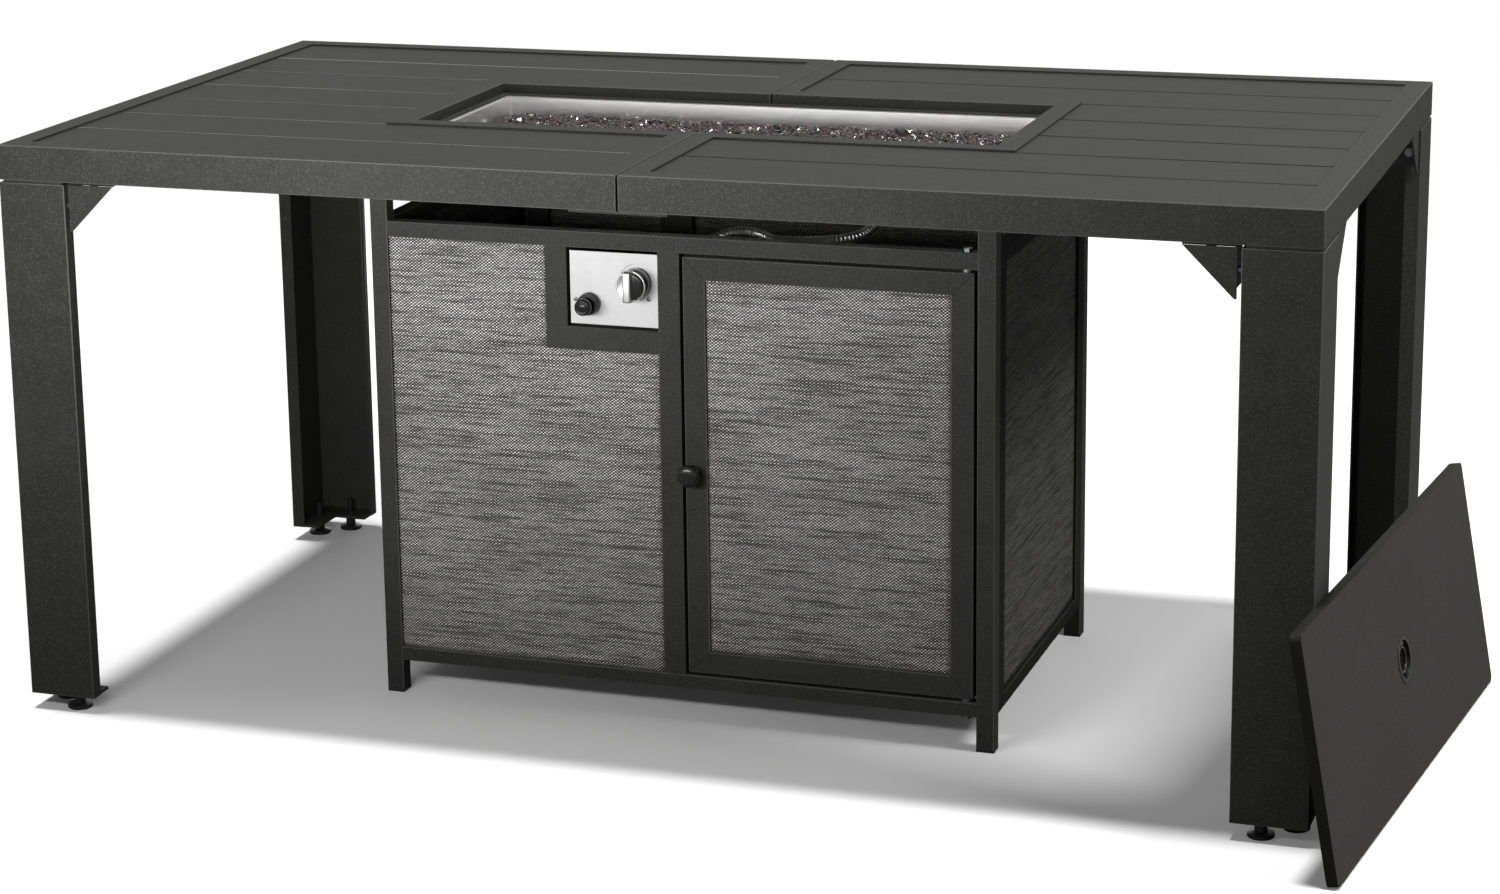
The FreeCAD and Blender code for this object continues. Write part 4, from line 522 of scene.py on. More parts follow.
@dataclass(frozen=True)
class SlingWeave(Finish):
    """Sling cloth of light and black coated yarns. It reads the piece's UV, in metres."""

    light: Colour = (0.92, 0.905, 0.87, 1.0)
    dark: Colour = (0.008, 0.008, 0.0075, 1.0)
    cell: float = 0.0048
    slub: float = 0.66

    def wire(self, wires: Wiring) -> dict[str, object]:
        """Yarn tones and humps.

        Args:
            wires: The material's wiring.

        Returns:
            The shader's inputs by name.
        """
        at = wires.out("ShaderNodeUVMap", uv_map=CLOTH_UV)
        weave = wires.effect(EFFECTS.sling_weave(), at, Cell=self.cell, Slub=self.slub)
        return {
            "Base Color": wires.blend(weave["Yarn"], self.dark, self.light),
            "Roughness": wires.between(weave["Height"], 0.85, 0.6),
            "Specular IOR Level": 0.05,
            "Normal": wires.bump(weave["Height"], 0.0005, 0.6),
        }


@dataclass(frozen=True)
class BrushedMetal(Finish):
    """Bare metal with fine lines: stainless, silver, zinc or brass."""

    colour: Colour
    shade: Colour
    gloss: float = 0.28
    spread: float = 0.16
    depth: float = 0.00006

    def wire(self, wires: Wiring) -> dict[str, object]:
        """Lines in the tone and the roughness, over faint clouds.

        Args:
            wires: The material's wiring.

        Returns:
            The shader's inputs by name.
        """
        at = self.object_place(wires)
        line = wires.effect(EFFECTS.brushed_lines(), at)["Line"]
        cloud = wires.effect(EFFECTS.cloudiness(), at, Scale=22.0)["Cloud"]
        return {
            "Base Color": wires.blend(wires.mixed(line, 0.5, cloud), self.shade, self.colour),
            "Roughness": wires.between(line, self.gloss, self.gloss + self.spread),
            "Metallic": 1.0,
            "Normal": wires.bump(line, self.depth, 0.6),
        }


@dataclass(frozen=True)
class MouldedBlack(Finish):
    """Moulded plastic or rubber with a fine spark-eroded grain."""

    tone: Colour = (0.011, 0.011, 0.012, 1.0)
    gloss: float = 0.38
    grain: float = 0.00012
    sheen: float = 0.3

    def wire(self, wires: Wiring) -> dict[str, object]:
        """A fine grain and faint clouds.

        Args:
            wires: The material's wiring.

        Returns:
            The shader's inputs by name.
        """
        at = self.object_place(wires)
        cells = wires.out("ShaderNodeTexVoronoi", {"Vector": at, "Scale": 1400.0})
        cloud = wires.effect(EFFECTS.cloudiness(), at, Scale=40.0)["Cloud"]
        lighter = tuple(c * 1.7 for c in self.tone[:3]) + (1.0,)
        return {
            "Base Color": wires.blend(cloud, self.tone, lighter),
            "Roughness": wires.between(cells, self.gloss - 0.06, self.gloss + 0.1),
            "Specular IOR Level": self.sheen,
            "Normal": wires.bump(cells, self.grain, 0.4),
        }


@dataclass(frozen=True)
class SatinPlate(Finish):
    """Bead-blasted pale plate of the controls."""

    tone: float = 0.5

    def wire(self, wires: Wiring) -> dict[str, object]:
        """Blasted grain with faint finger clouds.

        Args:
            wires: The material's wiring.

        Returns:
            The shader's inputs by name.
        """
        at = self.object_place(wires)
        grain = wires.noise(at, scale=1900.0, detail=1.0)
        cloud = wires.effect(EFFECTS.cloudiness(), at, Scale=18.0)["Cloud"]
        return {
            "Base Color": wires.blend(cloud, grey(self.tone * 0.95), grey(self.tone * 1.06)),
            "Roughness": wires.between(grain, 0.34, 0.5),
            "Metallic": 0.1,
            "Normal": wires.bump(grain, 0.00008, 0.5),
        }


@dataclass(frozen=True)
class TumbledGlass(Finish):
    """Crushed dark fire glass, a little smoky purple and brown."""

    smoky: Colour = (0.010, 0.007, 0.009, 1.0)
    purple: Colour = (0.075, 0.034, 0.045, 1.0)
    brown: Colour = (0.13, 0.055, 0.025, 1.0)

    def wire(self, wires: Wiring) -> dict[str, object]:
        """Each patch of chips has its own tone and a chipped, glossy surface.

        Args:
            wires: The material's wiring.

        Returns:
            The shader's inputs by name.
        """
        at = self.object_place(wires)
        chips = wires.node("ShaderNodeTexVoronoi", {"Vector": at, "Scale": 95.0}).outputs["Color"]
        pick = wires.out("ShaderNodeSeparateColor", {0: chips})
        colour = wires.blend(wires.step(pick, 0.2, 0.9), self.smoky, self.purple)
        amber = wires.step(wires.noise(at, scale=70.0, detail=1.0), 0.6, 0.72)
        return {
            "Base Color": wires.blend(wires.times(amber, 0.5), colour, self.brown),
            "Roughness": wires.between(wires.noise(at, scale=240.0, detail=2.0), 0.02, 0.2),
            "IOR": 1.52,
            "Transmission Weight": 0.25,
            "Normal": wires.bump(wires.noise(at, scale=420.0, detail=1.0), 0.0003, 0.5),
        }


COAT = PowderCoat("charcoal_powder_coat")
DOOR_COAT = PowderCoat(
    "charcoal_coat_mitred_door", middle=metres(189.75, -236, 325.5), half=metres(179.25, 0, 260.5), bar=0.028
)
# A darker copy of the coat for the side frames: painted shade. The mitre lines are their own.
SHADED_SIDE_COAT = PowderCoat(
    "charcoal_coat_mitred_side_painted_shade", 0.016, middle=metres(0, 0, 325.5), half=metres(212, 0, 286), bar=0.022,
    sideways=True, sheen=0.01,
)
# A lighter, warmer copy of the coat: a painted reflection on the lid's face.
LID_REFLECTION_COAT = PowderCoat("charcoal_coat_lid_painted_reflection", tone=0.032, warmth=0.07)
# A darker copy of the coat: painted shade on the lid's folded rim and the gussets' tops.
RIM_SHADE_COAT = PowderCoat("charcoal_coat_painted_rim_shade", tone=0.012)
# A much lighter copy of the coat: a painted highlight on the left panel's groove walls.
GROOVE_HIGHLIGHT_COAT = PowderCoat("charcoal_coat_painted_groove_highlight", tone=0.16)
SLING = SlingWeave("grey_sling_cloth")
SHADED_SLING = SlingWeave("grey_sling_cloth_shaded", (0.42, 0.413, 0.397, 1.0))
STAINLESS = BrushedMetal("brushed_stainless", (0.90, 0.90, 0.88, 1.0), (0.74, 0.74, 0.73, 1.0))
ZINC = BrushedMetal("zinc_plated_steel", (0.20, 0.205, 0.21, 1.0), (0.10, 0.105, 0.11, 1.0), 0.34)
BRASS = BrushedMetal("turned_brass", (0.60, 0.44, 0.20, 1.0), (0.42, 0.29, 0.12, 1.0), 0.3)
SILVER = BrushedMetal(
    "satin_silver_knob", (0.72, 0.72, 0.71, 1.0), (0.58, 0.58, 0.57, 1.0), gloss=0.3, spread=0.14, depth=0.00004
)
HOSE_STEEL = BrushedMetal("flexible_hose_steel", (0.62, 0.62, 0.60, 1.0), (0.40, 0.40, 0.39, 1.0), 0.26)
PLASTIC = MouldedBlack("moulded_black")
GLOSS_BLACK = MouldedBlack("polished_black", (0.008, 0.008, 0.008, 1.0), 0.16, 0.00004)
RUBBER = MouldedBlack("wire_rubber", (0.016, 0.016, 0.016, 1.0), 0.5, 0.0001)
PLATE = SatinPlate("blasted_control_plate")
GLASS = TumbledGlass("crushed_fire_glass")


# Meshes


def added(name: str, data: bpy.types.ID) -> Piece:
    """Adds an object with that data to the scene, at the origin.

    Args:
        name: The object's name.
        data: Its mesh, curve, camera or lamp.

    Returns:
        The object.
    """
    piece = bpy.data.objects.new(name, data)
    bpy.context.scene.collection.objects.link(piece)
    return piece


def new_piece(name: str, work: Work) -> Piece:
    """Makes an object at the origin from a bmesh, which is freed.

    Args:
        name: The object's name.
        work: The mesh.

    Returns:
        The new piece.
    """
    mesh = bpy.data.meshes.new(name)
    work.to_mesh(mesh)
    work.free()
    return added(name, mesh)


def place(piece: Piece, body: Body, finish: Finish, slot: Slot, stands_for: Iterable[str] = ()) -> Piece:
    """Dresses a finished piece, hides what it stands for, and hangs it on its body.

    Args:
        piece: The piece, in place.
        body: The body that it rides on.
        finish: Its finish.
        slot: Not used.
        stands_for: CAD nodes that it replaces.

    Returns:
        The piece.
    """
    finish.dress(piece)
    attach(piece, body.value)
    names = list(stands_for)
    if names:
        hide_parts(*names)
    LOG.info("piece %s on %s", piece.name, body.value)
    return piece


def recoat(piece: Piece, finish: Finish, wanted: Callable[[Polygon], bool]) -> None:
    """Gives some faces of a piece a second finish.

    Args:
        piece: The piece, which has one finish already.
        finish: The second finish.
        wanted: Says which faces take it.
    """
    piece.data.materials.append(finish.material())
    for polygon in piece.data.polygons:
        if wanted(polygon):
            polygon.material_index = 1


def rounded(
    work: Work, edges: Sequence[bmesh.types.BMEdge], radius: float, segments: int, profile: float = 0.5,
    clamp: bool = False,
) -> Sequence[bmesh.types.BMFace]:
    """Rounds edges.

    Args:
        work: The mesh.
        edges: Its edges to round.
        radius: The radius, in the mesh's unit.
        segments: Faces across the rounding.
        profile: Its fullness, 0.5 for a circle.
        clamp: Whether overlaps are held back.

    Returns:
        The new faces.
    """
    made = bmesh.ops.bevel(
        work, geom=edges, offset=radius, segments=segments, profile=profile, affect="EDGES",
        clamp_overlap=clamp,
    )
    return made["faces"]


def crisp(edge: bmesh.types.BMEdge, radius: float) -> bool:
    """Whether a merged CAD edge is a long outer corner with room for a soft radius.

    Args:
        edge: The edge.
        radius: The radius, in metres.

    Returns:
        Whether it can be rounded.
    """
    sharp, long, broad, free = math.radians(50), 0.008, 4 * radius, 2.2 * radius
    if len(edge.link_faces) != 2 or not edge.is_convex:
        return False
    if edge.calc_face_angle(0.0) < sharp or edge.calc_length() < long:
        return False
    if any(face.calc_area() / edge.calc_length() < broad for face in edge.link_faces):
        return False
    rest = {near for corner in edge.verts for near in corner.link_edges if near is not edge}
    return all(near.calc_length() > free for near in rest)


def round_tray(work: Work, radius: float, deep: float = 0.013, gauge: float = 0.0015) -> None:
    """Rounds a folded tray's four upright corners, outside and inside.

    Args:
        work: The tray's mesh.
        radius: The outer radius, in metres.
        deep: The tray's depth.
        gauge: Its sheet.
    """
    for outer, bend in ((True, radius), (False, radius - gauge)):
        length = deep if outer else deep - gauge
        edges = [
            edge for edge in work.edges
            if len(edge.link_faces) == 2 and edge.is_convex == outer
            and edge.calc_face_angle(0.0) > 1.4 and abs(edge.calc_length() - length) < 0.0004
        ]
        rounded(work, edges, bend, segments=5)
        LOG.info("%d tray corners rounded", len(edges))


def softened(node: str, radius: float = 0.0012, corner: float = 0.0) -> Piece:
    """A copy of a CAD node with its long outer corners rounded and marked for a painted highlight.

    Args:
        node: The CAD node.
        radius: The corner radius, in metres.
        corner: The radius of a tray's upright corners, or 0 for none.

    Returns:
        The new piece.
    """
    work = bmesh.new()
    work.from_mesh(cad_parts[node].data)
    bmesh.ops.remove_doubles(work, verts=work.verts, dist=1e-5)
    bmesh.ops.dissolve_limit(work, angle_limit=math.radians(0.6), verts=work.verts, edges=work.edges)
    if corner:
        round_tray(work, corner)
    # The rounded faces are marked for the painted edge highlight.
    edge_shine = work.faces.layers.float.new(PAINTED_EDGE_HIGHLIGHT)
    edges = [edge for edge in work.edges if crisp(edge, radius)]
    if edges:
        for face in rounded(work, edges, radius, segments=2, profile=0.6):
            face[edge_shine] = 1.0
            face.smooth = True
    return new_piece(node + "_coated", work)


def turned(name: str, profile: Profile, axis: Point, start: Point, sides: int) -> Piece:
    """A closed turned piece.

    Args:
        name: The piece's name.
        profile: Radius and height of each ring, in millimetres, from the start outwards.
        axis: The direction that heights are measured along.
        start: The point that they are measured from, in metres.
        sides: Faces round it.

    Returns:
        The new piece.
    """
    work = bmesh.new()
    turn = Vector((0, 0, 1)).rotation_difference(Vector(axis)).to_matrix().to_4x4()
    matrix = Matrix.Translation(start) @ turn
    rings = []
    for radius, height in profile:
        ring = []
        for i in range(sides):
            angle = 2 * math.pi * i / sides
            spot = Vector((radius * math.cos(angle), radius * math.sin(angle), height)) / 1000
            ring.append(work.verts.new(matrix @ spot))
        rings.append(ring)
    for low, high in zip(rings, rings[1:]):
        for i in range(sides):
            j = (i + 1) % sides
            work.faces.new((low[i], low[j], high[j], high[i])).smooth = True
    work.faces.new(list(reversed(rings[0])))
    work.faces.new(rings[-1])
    bmesh.ops.recalc_face_normals(work, faces=work.faces)
    return new_piece(name, work)


# Geometry Nodes


@dataclass
class NodeRecipe:
    """A Geometry Nodes tree with named inputs, whose result becomes a plain mesh."""

    name: str
    sizes: dict[str, str]
    wire: Callable[[Wiring, Outputs], Socket]
    tree: Optional[Tree] = None

    def build(self) -> Tree:
        """Builds the tree: the named inputs, the wiring, Realize Instances and Set Material.

        Returns:
            The tree.
        """
        tree = bpy.data.node_groups.new(self.name, "GeometryNodeTree")
        sockets = {"Geometry": "NodeSocketGeometry", **self.sizes, "Finish": "NodeSocketMaterial"}
        for label, kind in sockets.items():
            tree.interface.new_socket(label, in_out="INPUT", socket_type=kind)
        tree.interface.new_socket("Geometry", in_out="OUTPUT", socket_type="NodeSocketGeometry")
        wires = Wiring(tree)
        given = wires.node("NodeGroupInput").outputs
        whole = wires.out("GeometryNodeRealizeInstances", {"Geometry": self.wire(wires, given)})
        dressed = wires.out("GeometryNodeSetMaterial", {"Geometry": whole, "Material": given["Finish"]})
        wires.node("NodeGroupOutput", {0: dressed})
        return tree

    def run(self, piece: Piece, finish: Finish, **sizes: object) -> None:
        """Runs the tree on a piece and keeps the result as its plain mesh.

        Args:
            piece: The object that carries the starting geometry.
            finish: The finish that Set Material gives.
            **sizes: A value for each named input.
        """
        self.tree = self.tree or self.build()
        modifier = piece.modifiers.new(self.name, "NODES")
        modifier.node_group = self.tree
        items = self.tree.interface.items_tree
        sockets = {item.name: item.identifier for item in items if item.in_out == "INPUT"}
        for label, value in {**sizes, "Finish": finish.material()}.items():
            modifier[sockets[label]] = value
        depsgraph = bpy.context.evaluated_depsgraph_get()
        evaluated = piece.evaluated_get(depsgraph)
        mesh = bpy.data.meshes.new_from_object(evaluated, preserve_all_data_layers=True, depsgraph=depsgraph)
        piece.modifiers.clear()
        piece.data = mesh


def wire_ribs(wires: Wiring, given: Outputs) -> Socket:
    """Ribs round a tube along the path: a circle swept at a scale that swells once for each rib.

    Args:
        wires: The tree's wiring.
        given: The tree's inputs.

    Returns:
        The finished geometry.
    """
    steps = 4.0
    count = wires.math("MULTIPLY_ADD", given["Ribs"], steps, 1.0)
    path = wires.out("GeometryNodeMeshToCurve", {"Mesh": given["Geometry"]})
    spaced = wires.out("GeometryNodeResampleCurve", {"Curve": path, "Count": count})
    step = wires.math("MODULO", wires.out("GeometryNodeInputIndex"), steps)
    crest = wires.math("COMPARE", step, 2.0, 1.1)
    radius = wires.math("MULTIPLY_ADD", crest, wires.minus(given["Crest"], given["Root"]), given["Root"])
    ring = wires.out("GeometryNodeCurvePrimitiveCircle", {"Resolution": 16, "Radius": 1.0})
    sweep = {"Curve": spaced, "Profile Curve": ring, "Scale": radius, "Fill Caps": True}
    tube = wires.out("GeometryNodeCurveToMesh", sweep)
    return wires.out("GeometryNodeSetShadeSmooth", {"Geometry": tube, "Shade Smooth": False})


def wire_chips(wires: Wiring, given: Outputs) -> Socket:
    """Angular chips strewn over the bed, each turned and sized by chance.

    Args:
        wires: The tree's wiring.
        given: The tree's inputs.

    Returns:
        The finished geometry.
    """
    spread = {"Mesh": given["Geometry"], "Density": given["Density"], "Seed": 11}
    spots = wires.out("GeometryNodeDistributePointsOnFaces", spread)
    turn = wires.node("FunctionNodeRandomValue", {"Seed": 5}, data_type="FLOAT_VECTOR")
    turn.inputs[1].default_value = (6.28, 6.28, 6.28)
    girth = wires.node("FunctionNodeRandomValue", {"Seed": 8}, data_type="FLOAT_VECTOR")
    girth.inputs[0].default_value = (0.55, 0.65, 0.5)
    girth.inputs[1].default_value = (1.25, 1.15, 0.9)
    chip = wires.out("GeometryNodeMeshIcoSphere", {"Radius": given["Chip"], "Subdivisions": 1})
    strewn = {"Points": spots, "Instance": chip, "Rotation": turn.outputs[0], "Scale": girth.outputs[0]}
    return wires.out("GeometryNodeInstanceOnPoints", strewn)


def wire_fasteners(wires: Wiring, given: Outputs) -> Socket:
    """One fastener head on each point, turned to the way that the point faces.

    Args:
        wires: The tree's wiring.
        given: The tree's inputs.

    Returns:
        The finished geometry.
    """
    mould = wires.node("GeometryNodeObjectInfo", {"Object": given["Mould"]}).outputs["Geometry"]
    facing = wires.out("GeometryNodeInputNamedAttribute", {"Name": "facing"}, data_type="FLOAT_VECTOR")
    turn = wires.out("FunctionNodeAlignRotationToVector", {"Vector": facing}, axis="Z")
    heads = {"Points": given["Geometry"], "Instance": mould, "Rotation": turn}
    return wires.out("GeometryNodeInstanceOnPoints", heads)


def wire_ticks(wires: Wiring, given: Outputs) -> Socket:
    """Printed dots along an arc, growing from low to high, on a plate that faces the front.

    Args:
        wires: The tree's wiring.
        given: The tree's inputs.

    Returns:
        The finished geometry.
    """
    angles = {"Start Angle": given["Start"], "Sweep Angle": given["Sweep"]}
    arc = wires.out("GeometryNodeCurveArc", {"Resolution": 64, "Radius": given["Reach"], **angles})
    spots = wires.out("GeometryNodeResampleCurve", {"Curve": arc, "Count": given["Dots"]})
    points = wires.out("GeometryNodeCurveToPoints", {"Curve": spots}, mode="EVALUATED")
    disc = wires.out("GeometryNodeMeshCircle", {"Vertices": 12, "Radius": 0.0005}, fill_type="NGON")
    growth = wires.math("MULTIPLY_ADD", wires.out("GeometryNodeInputIndex"), 0.09, 1.1)
    dots = wires.out("GeometryNodeInstanceOnPoints", {"Points": points, "Instance": disc, "Scale": growth})
    upright = {"Geometry": dots, "Translation": given["Middle"], "Rotation": (math.pi / 2, 0.0, 0.0)}
    return wires.out("GeometryNodeTransform", upright)


RIBS = NodeRecipe("hose_ribs", {"Ribs": COUNT, "Crest": FLOAT, "Root": FLOAT}, wire_ribs)
CHIPS = NodeRecipe("glass_chips", {"Density": FLOAT, "Chip": FLOAT}, wire_chips)
FASTENERS = NodeRecipe("fastener_heads", {"Mould": "NodeSocketObject"}, wire_fasteners)
TICKS = NodeRecipe(
    "dial_ticks", {"Reach": FLOAT, "Start": FLOAT, "Sweep": FLOAT, "Dots": COUNT, "Middle": VECTOR},
    wire_ticks,
)


# Studio


@dataclass(frozen=True)
class Lamp:
    """An area lamp of the studio, or a sun where it has no height: its width is then its angle."""

    name: str
    energy: float
    spot: Point
    target: Point
    width: float
    height: float = 0.0

    def build(self) -> None:
        """Adds the lamp, pointed at its target."""
        data = bpy.data.lights.new(self.name, "AREA" if self.height else "SUN")
        data.energy = self.energy
        if self.height:
            data.shape = "RECTANGLE"
            data.size, data.size_y = self.width, self.height
        else:
            data.angle = self.width
        ahead = Vector(self.target) - Vector(self.spot)
        turn = ahead.to_track_quat("-Z", "Y").to_matrix().to_4x4()
        added(self.name, data).matrix_world = Matrix.Translation(self.spot) @ turn


@dataclass
class Studio:
    """Camera, floor, world and lamps."""

    eye: Point = (1.3529, -4.0326, 1.4520)
    yaw: float = 0.3502
    pitch: float = 0.2388
    roll: float = -0.0193
    lens: float = 82.82
    shift: tuple[float, float] = (0.0667, -0.0647)
    ambient: float = 0.105
    reflected: float = 0.8
    bounce: float = 0.25
    # The floor's glow is dimmed round this point: a painted shadow under the table.
    shade: Point = (-0.35, 0.0, 0.0)
    painted_shadow_reach: tuple[float, float] = (0.45, 1.3)
    glow_round_painted_shadow: tuple[float, float] = (0.02, 0.1)
    lamps: tuple[Lamp, ...] = (
        Lamp("overhead", 2.7, (-0.28, 0.0, 5.0), (0.0, 0.0, 0.0), math.radians(5)),
        Lamp("key", 29.5, (-0.36, -1.35, 0.75), (-0.42, -0.35, 1.59), 1.0, 0.35),
        Lamp("side", 38.0, (2.2, -0.4, 1.9), (0.8, -0.15, 0.6), 0.7, 0.7),
        Lamp("rear_lamp", 9.0, (-0.9, 2.6, 0.5), (0.0, 0.2, 0.4), 1.6, 0.4),
    )

    def build(self) -> None:
        """Builds the stage."""
        self.camera()
        self.floor()
        self.world()
        for lamp in self.lamps:
            lamp.build()
        bpy.context.scene.view_settings.view_transform = "Standard"

    def camera(self) -> None:
        """The photograph's viewpoint."""
        level = math.cos(self.pitch)
        ahead = Vector((-math.sin(self.yaw) * level, math.cos(self.yaw) * level, -math.sin(self.pitch)))
        right = Vector((math.cos(self.yaw), math.sin(self.yaw), 0.0))
        up = right.cross(ahead)
        across = right * math.cos(self.roll) + up * math.sin(self.roll)
        above = up * math.cos(self.roll) - right * math.sin(self.roll)
        data = bpy.data.cameras.new("viewpoint")
        data.sensor_width = 36.0
        data.lens = self.lens
        data.shift_x, data.shift_y = self.shift
        data.clip_end = 60.0
        viewer = added("viewpoint", data)
        turn = Matrix((across, above, -ahead)).transposed().to_4x4()
        viewer.matrix_world = Matrix.Translation(self.eye) @ turn
        bpy.context.scene.camera = viewer

    def seen(self, wires: Wiring, path: Outputs) -> Socket:
        """Whether a ray comes straight from the camera, or through glass."""
        return wires.math("MAXIMUM", path["Is Camera Ray"], path["Is Transmission Ray"])

    def floor(self) -> Piece:
        """A pale floor that keeps the lamps' shadow, reads white in the open and has its glow dimmed round the
        table: a painted shadow.

        Returns:
            The floor.
        """
        work = bmesh.new()
        bmesh.ops.create_grid(work, x_segments=1, y_segments=1, size=12.0)
        bmesh.ops.translate(work, verts=work.verts, vec=(0, 0, -0.0002))
        floor = new_piece("studio_floor", work)
        material = bpy.data.materials.new("pale_floor")
        material.use_nodes = True
        material.node_tree.nodes.clear()
        wires = Wiring(material.node_tree)
        seen = self.seen(wires, wires.node("ShaderNodeLightPath").outputs)
        at = wires.node("ShaderNodeTexCoord").outputs["Object"]
        away = wires.node("ShaderNodeVectorMath", {0: at, 1: self.shade}, operation="DISTANCE")
        # Less glow near the table: a painted shadow.
        glow_round_painted_shadow = wires.between(wires.step(away.outputs["Value"], *self.painted_shadow_reach), *self.glow_round_painted_shadow)
        shader = wires.out("ShaderNodeBsdfPrincipled", {
            "Base Color": wires.blend(seen, grey(self.bounce), grey(0.93)),
            "Roughness": 0.95,
            "Specular IOR Level": 0.0,
            "Emission Color": grey(1.0),
            "Emission Strength": wires.times(seen, glow_round_painted_shadow),
        })
        wires.node("ShaderNodeOutputMaterial", {"Surface": shader})
        floor.data.materials.append(material)
        return floor

    def world(self) -> None:
        """White behind everything, and a soft fill on the surfaces."""
        world = bpy.data.worlds.new("soft_room")
        bpy.context.scene.world = world
        world.use_nodes = True
        world.node_tree.nodes.clear()
        wires = Wiring(world.node_tree)
        path = wires.node("ShaderNodeLightPath").outputs
        level = wires.between(path["Is Glossy Ray"], self.ambient, self.reflected)
        fill = wires.out("ShaderNodeBackground", {"Color": grey(1.0), "Strength": level})
        white = wires.out("ShaderNodeBackground", {"Color": grey(1.0), "Strength": 1.0})
        mixed = wires.out("ShaderNodeMixShader", {0: self.seen(wires, path), 1: fill, 2: white})
        wires.node("ShaderNodeOutputWorld", {"Surface": mixed})


# Sub-assemblies


@dataclass
class GasTrain:
    """The ribbed hose, the igniter wire and the thermocouple lead under the burner."""

    hose_route: tuple[Point, ...] = route(
        (-48, -178.5, 551), (-48, -155, 551), (-37, -118.5, 559), (-9, -95.5, 573.5), (27, -93.5, 589),
        (65, -111, 591.5), (94, -143.5, 590), (133, -154, 593), (172, -141, 594), (198, -110, 595.5),
        (205, -70, 607), (200, -43, 610), (200, -17, 610),
    )
    wire_route: tuple[Point, ...] = route(
        (-109, -196, 522), (-109, -174, 522), (-103, -140, 530), (-84, -105, 543), (-54, -78, 558),
        (-12, -62, 574), (22, -51, 590), (43, -43, 602), (55, -36, 614), (55, -36, 631),
    )
    lead_route: tuple[Point, ...] = route(
        (-33, -205.5, 551), (-13, -205.5, 551), (18, -188.5, 553), (57, -153.5, 559), (95, -107.5, 567),
        (102, -63, 583), (84, -44, 601), (69, -36, 614), (69, -36, 631),
    )

    def line(self, name: str, spots: Sequence[Point], radius: float) -> Piece:
        """A curve of one smooth spline along its control points.

        Args:
            name: The curve's name.
            spots: The control points, in metres.
            radius: The bevel radius, or 0 for a bare line.

        Returns:
            The curve object.
        """
        data = bpy.data.curves.new(name, "CURVE")
        data.dimensions = "3D"
        data.resolution_u = 16
        data.bevel_depth = radius
        data.bevel_resolution = 4
        data.use_fill_caps = True
        spline = data.splines.new("NURBS")
        spline.points.add(len(spots) - 1)
        for point, spot in zip(spline.points, spots):
            point.co = (*spot, 1.0)
        spline.order_u = 3
        spline.use_endpoint_u = True
        return added(name, data)

    def build(self) -> None:
        """Builds the hose and both leads."""
        self.hose()
        wire = self.line("igniter_wire_lead", self.wire_route, 0.0014)
        place(wire, Body.TABLE, RUBBER, Slot.RUBBER, ["igniter_wire"])
        lead = self.line("thermocouple_tube", self.lead_route, 0.001)
        place(lead, Body.TABLE, RUBBER, Slot.RUBBER, ["thermocouple_lead"])

    def hose(self) -> None:
        """The hose: its spline gives the path, and the ribs are swept along it."""
        bare = self.line("hose_line", self.hose_route, 0.0)
        depsgraph = bpy.context.evaluated_depsgraph_get()
        mesh = bpy.data.meshes.new_from_object(bare.evaluated_get(depsgraph), depsgraph=depsgraph)
        bpy.data.objects.remove(bare)
        hose = added("ribbed_gas_hose", mesh)
        RIBS.run(hose, HOSE_STEEL, Ribs=84, Crest=0.0063, Root=0.0050)
        place(hose, Body.TABLE, HOSE_STEEL, Slot.HOSE, ["gas_hose"])


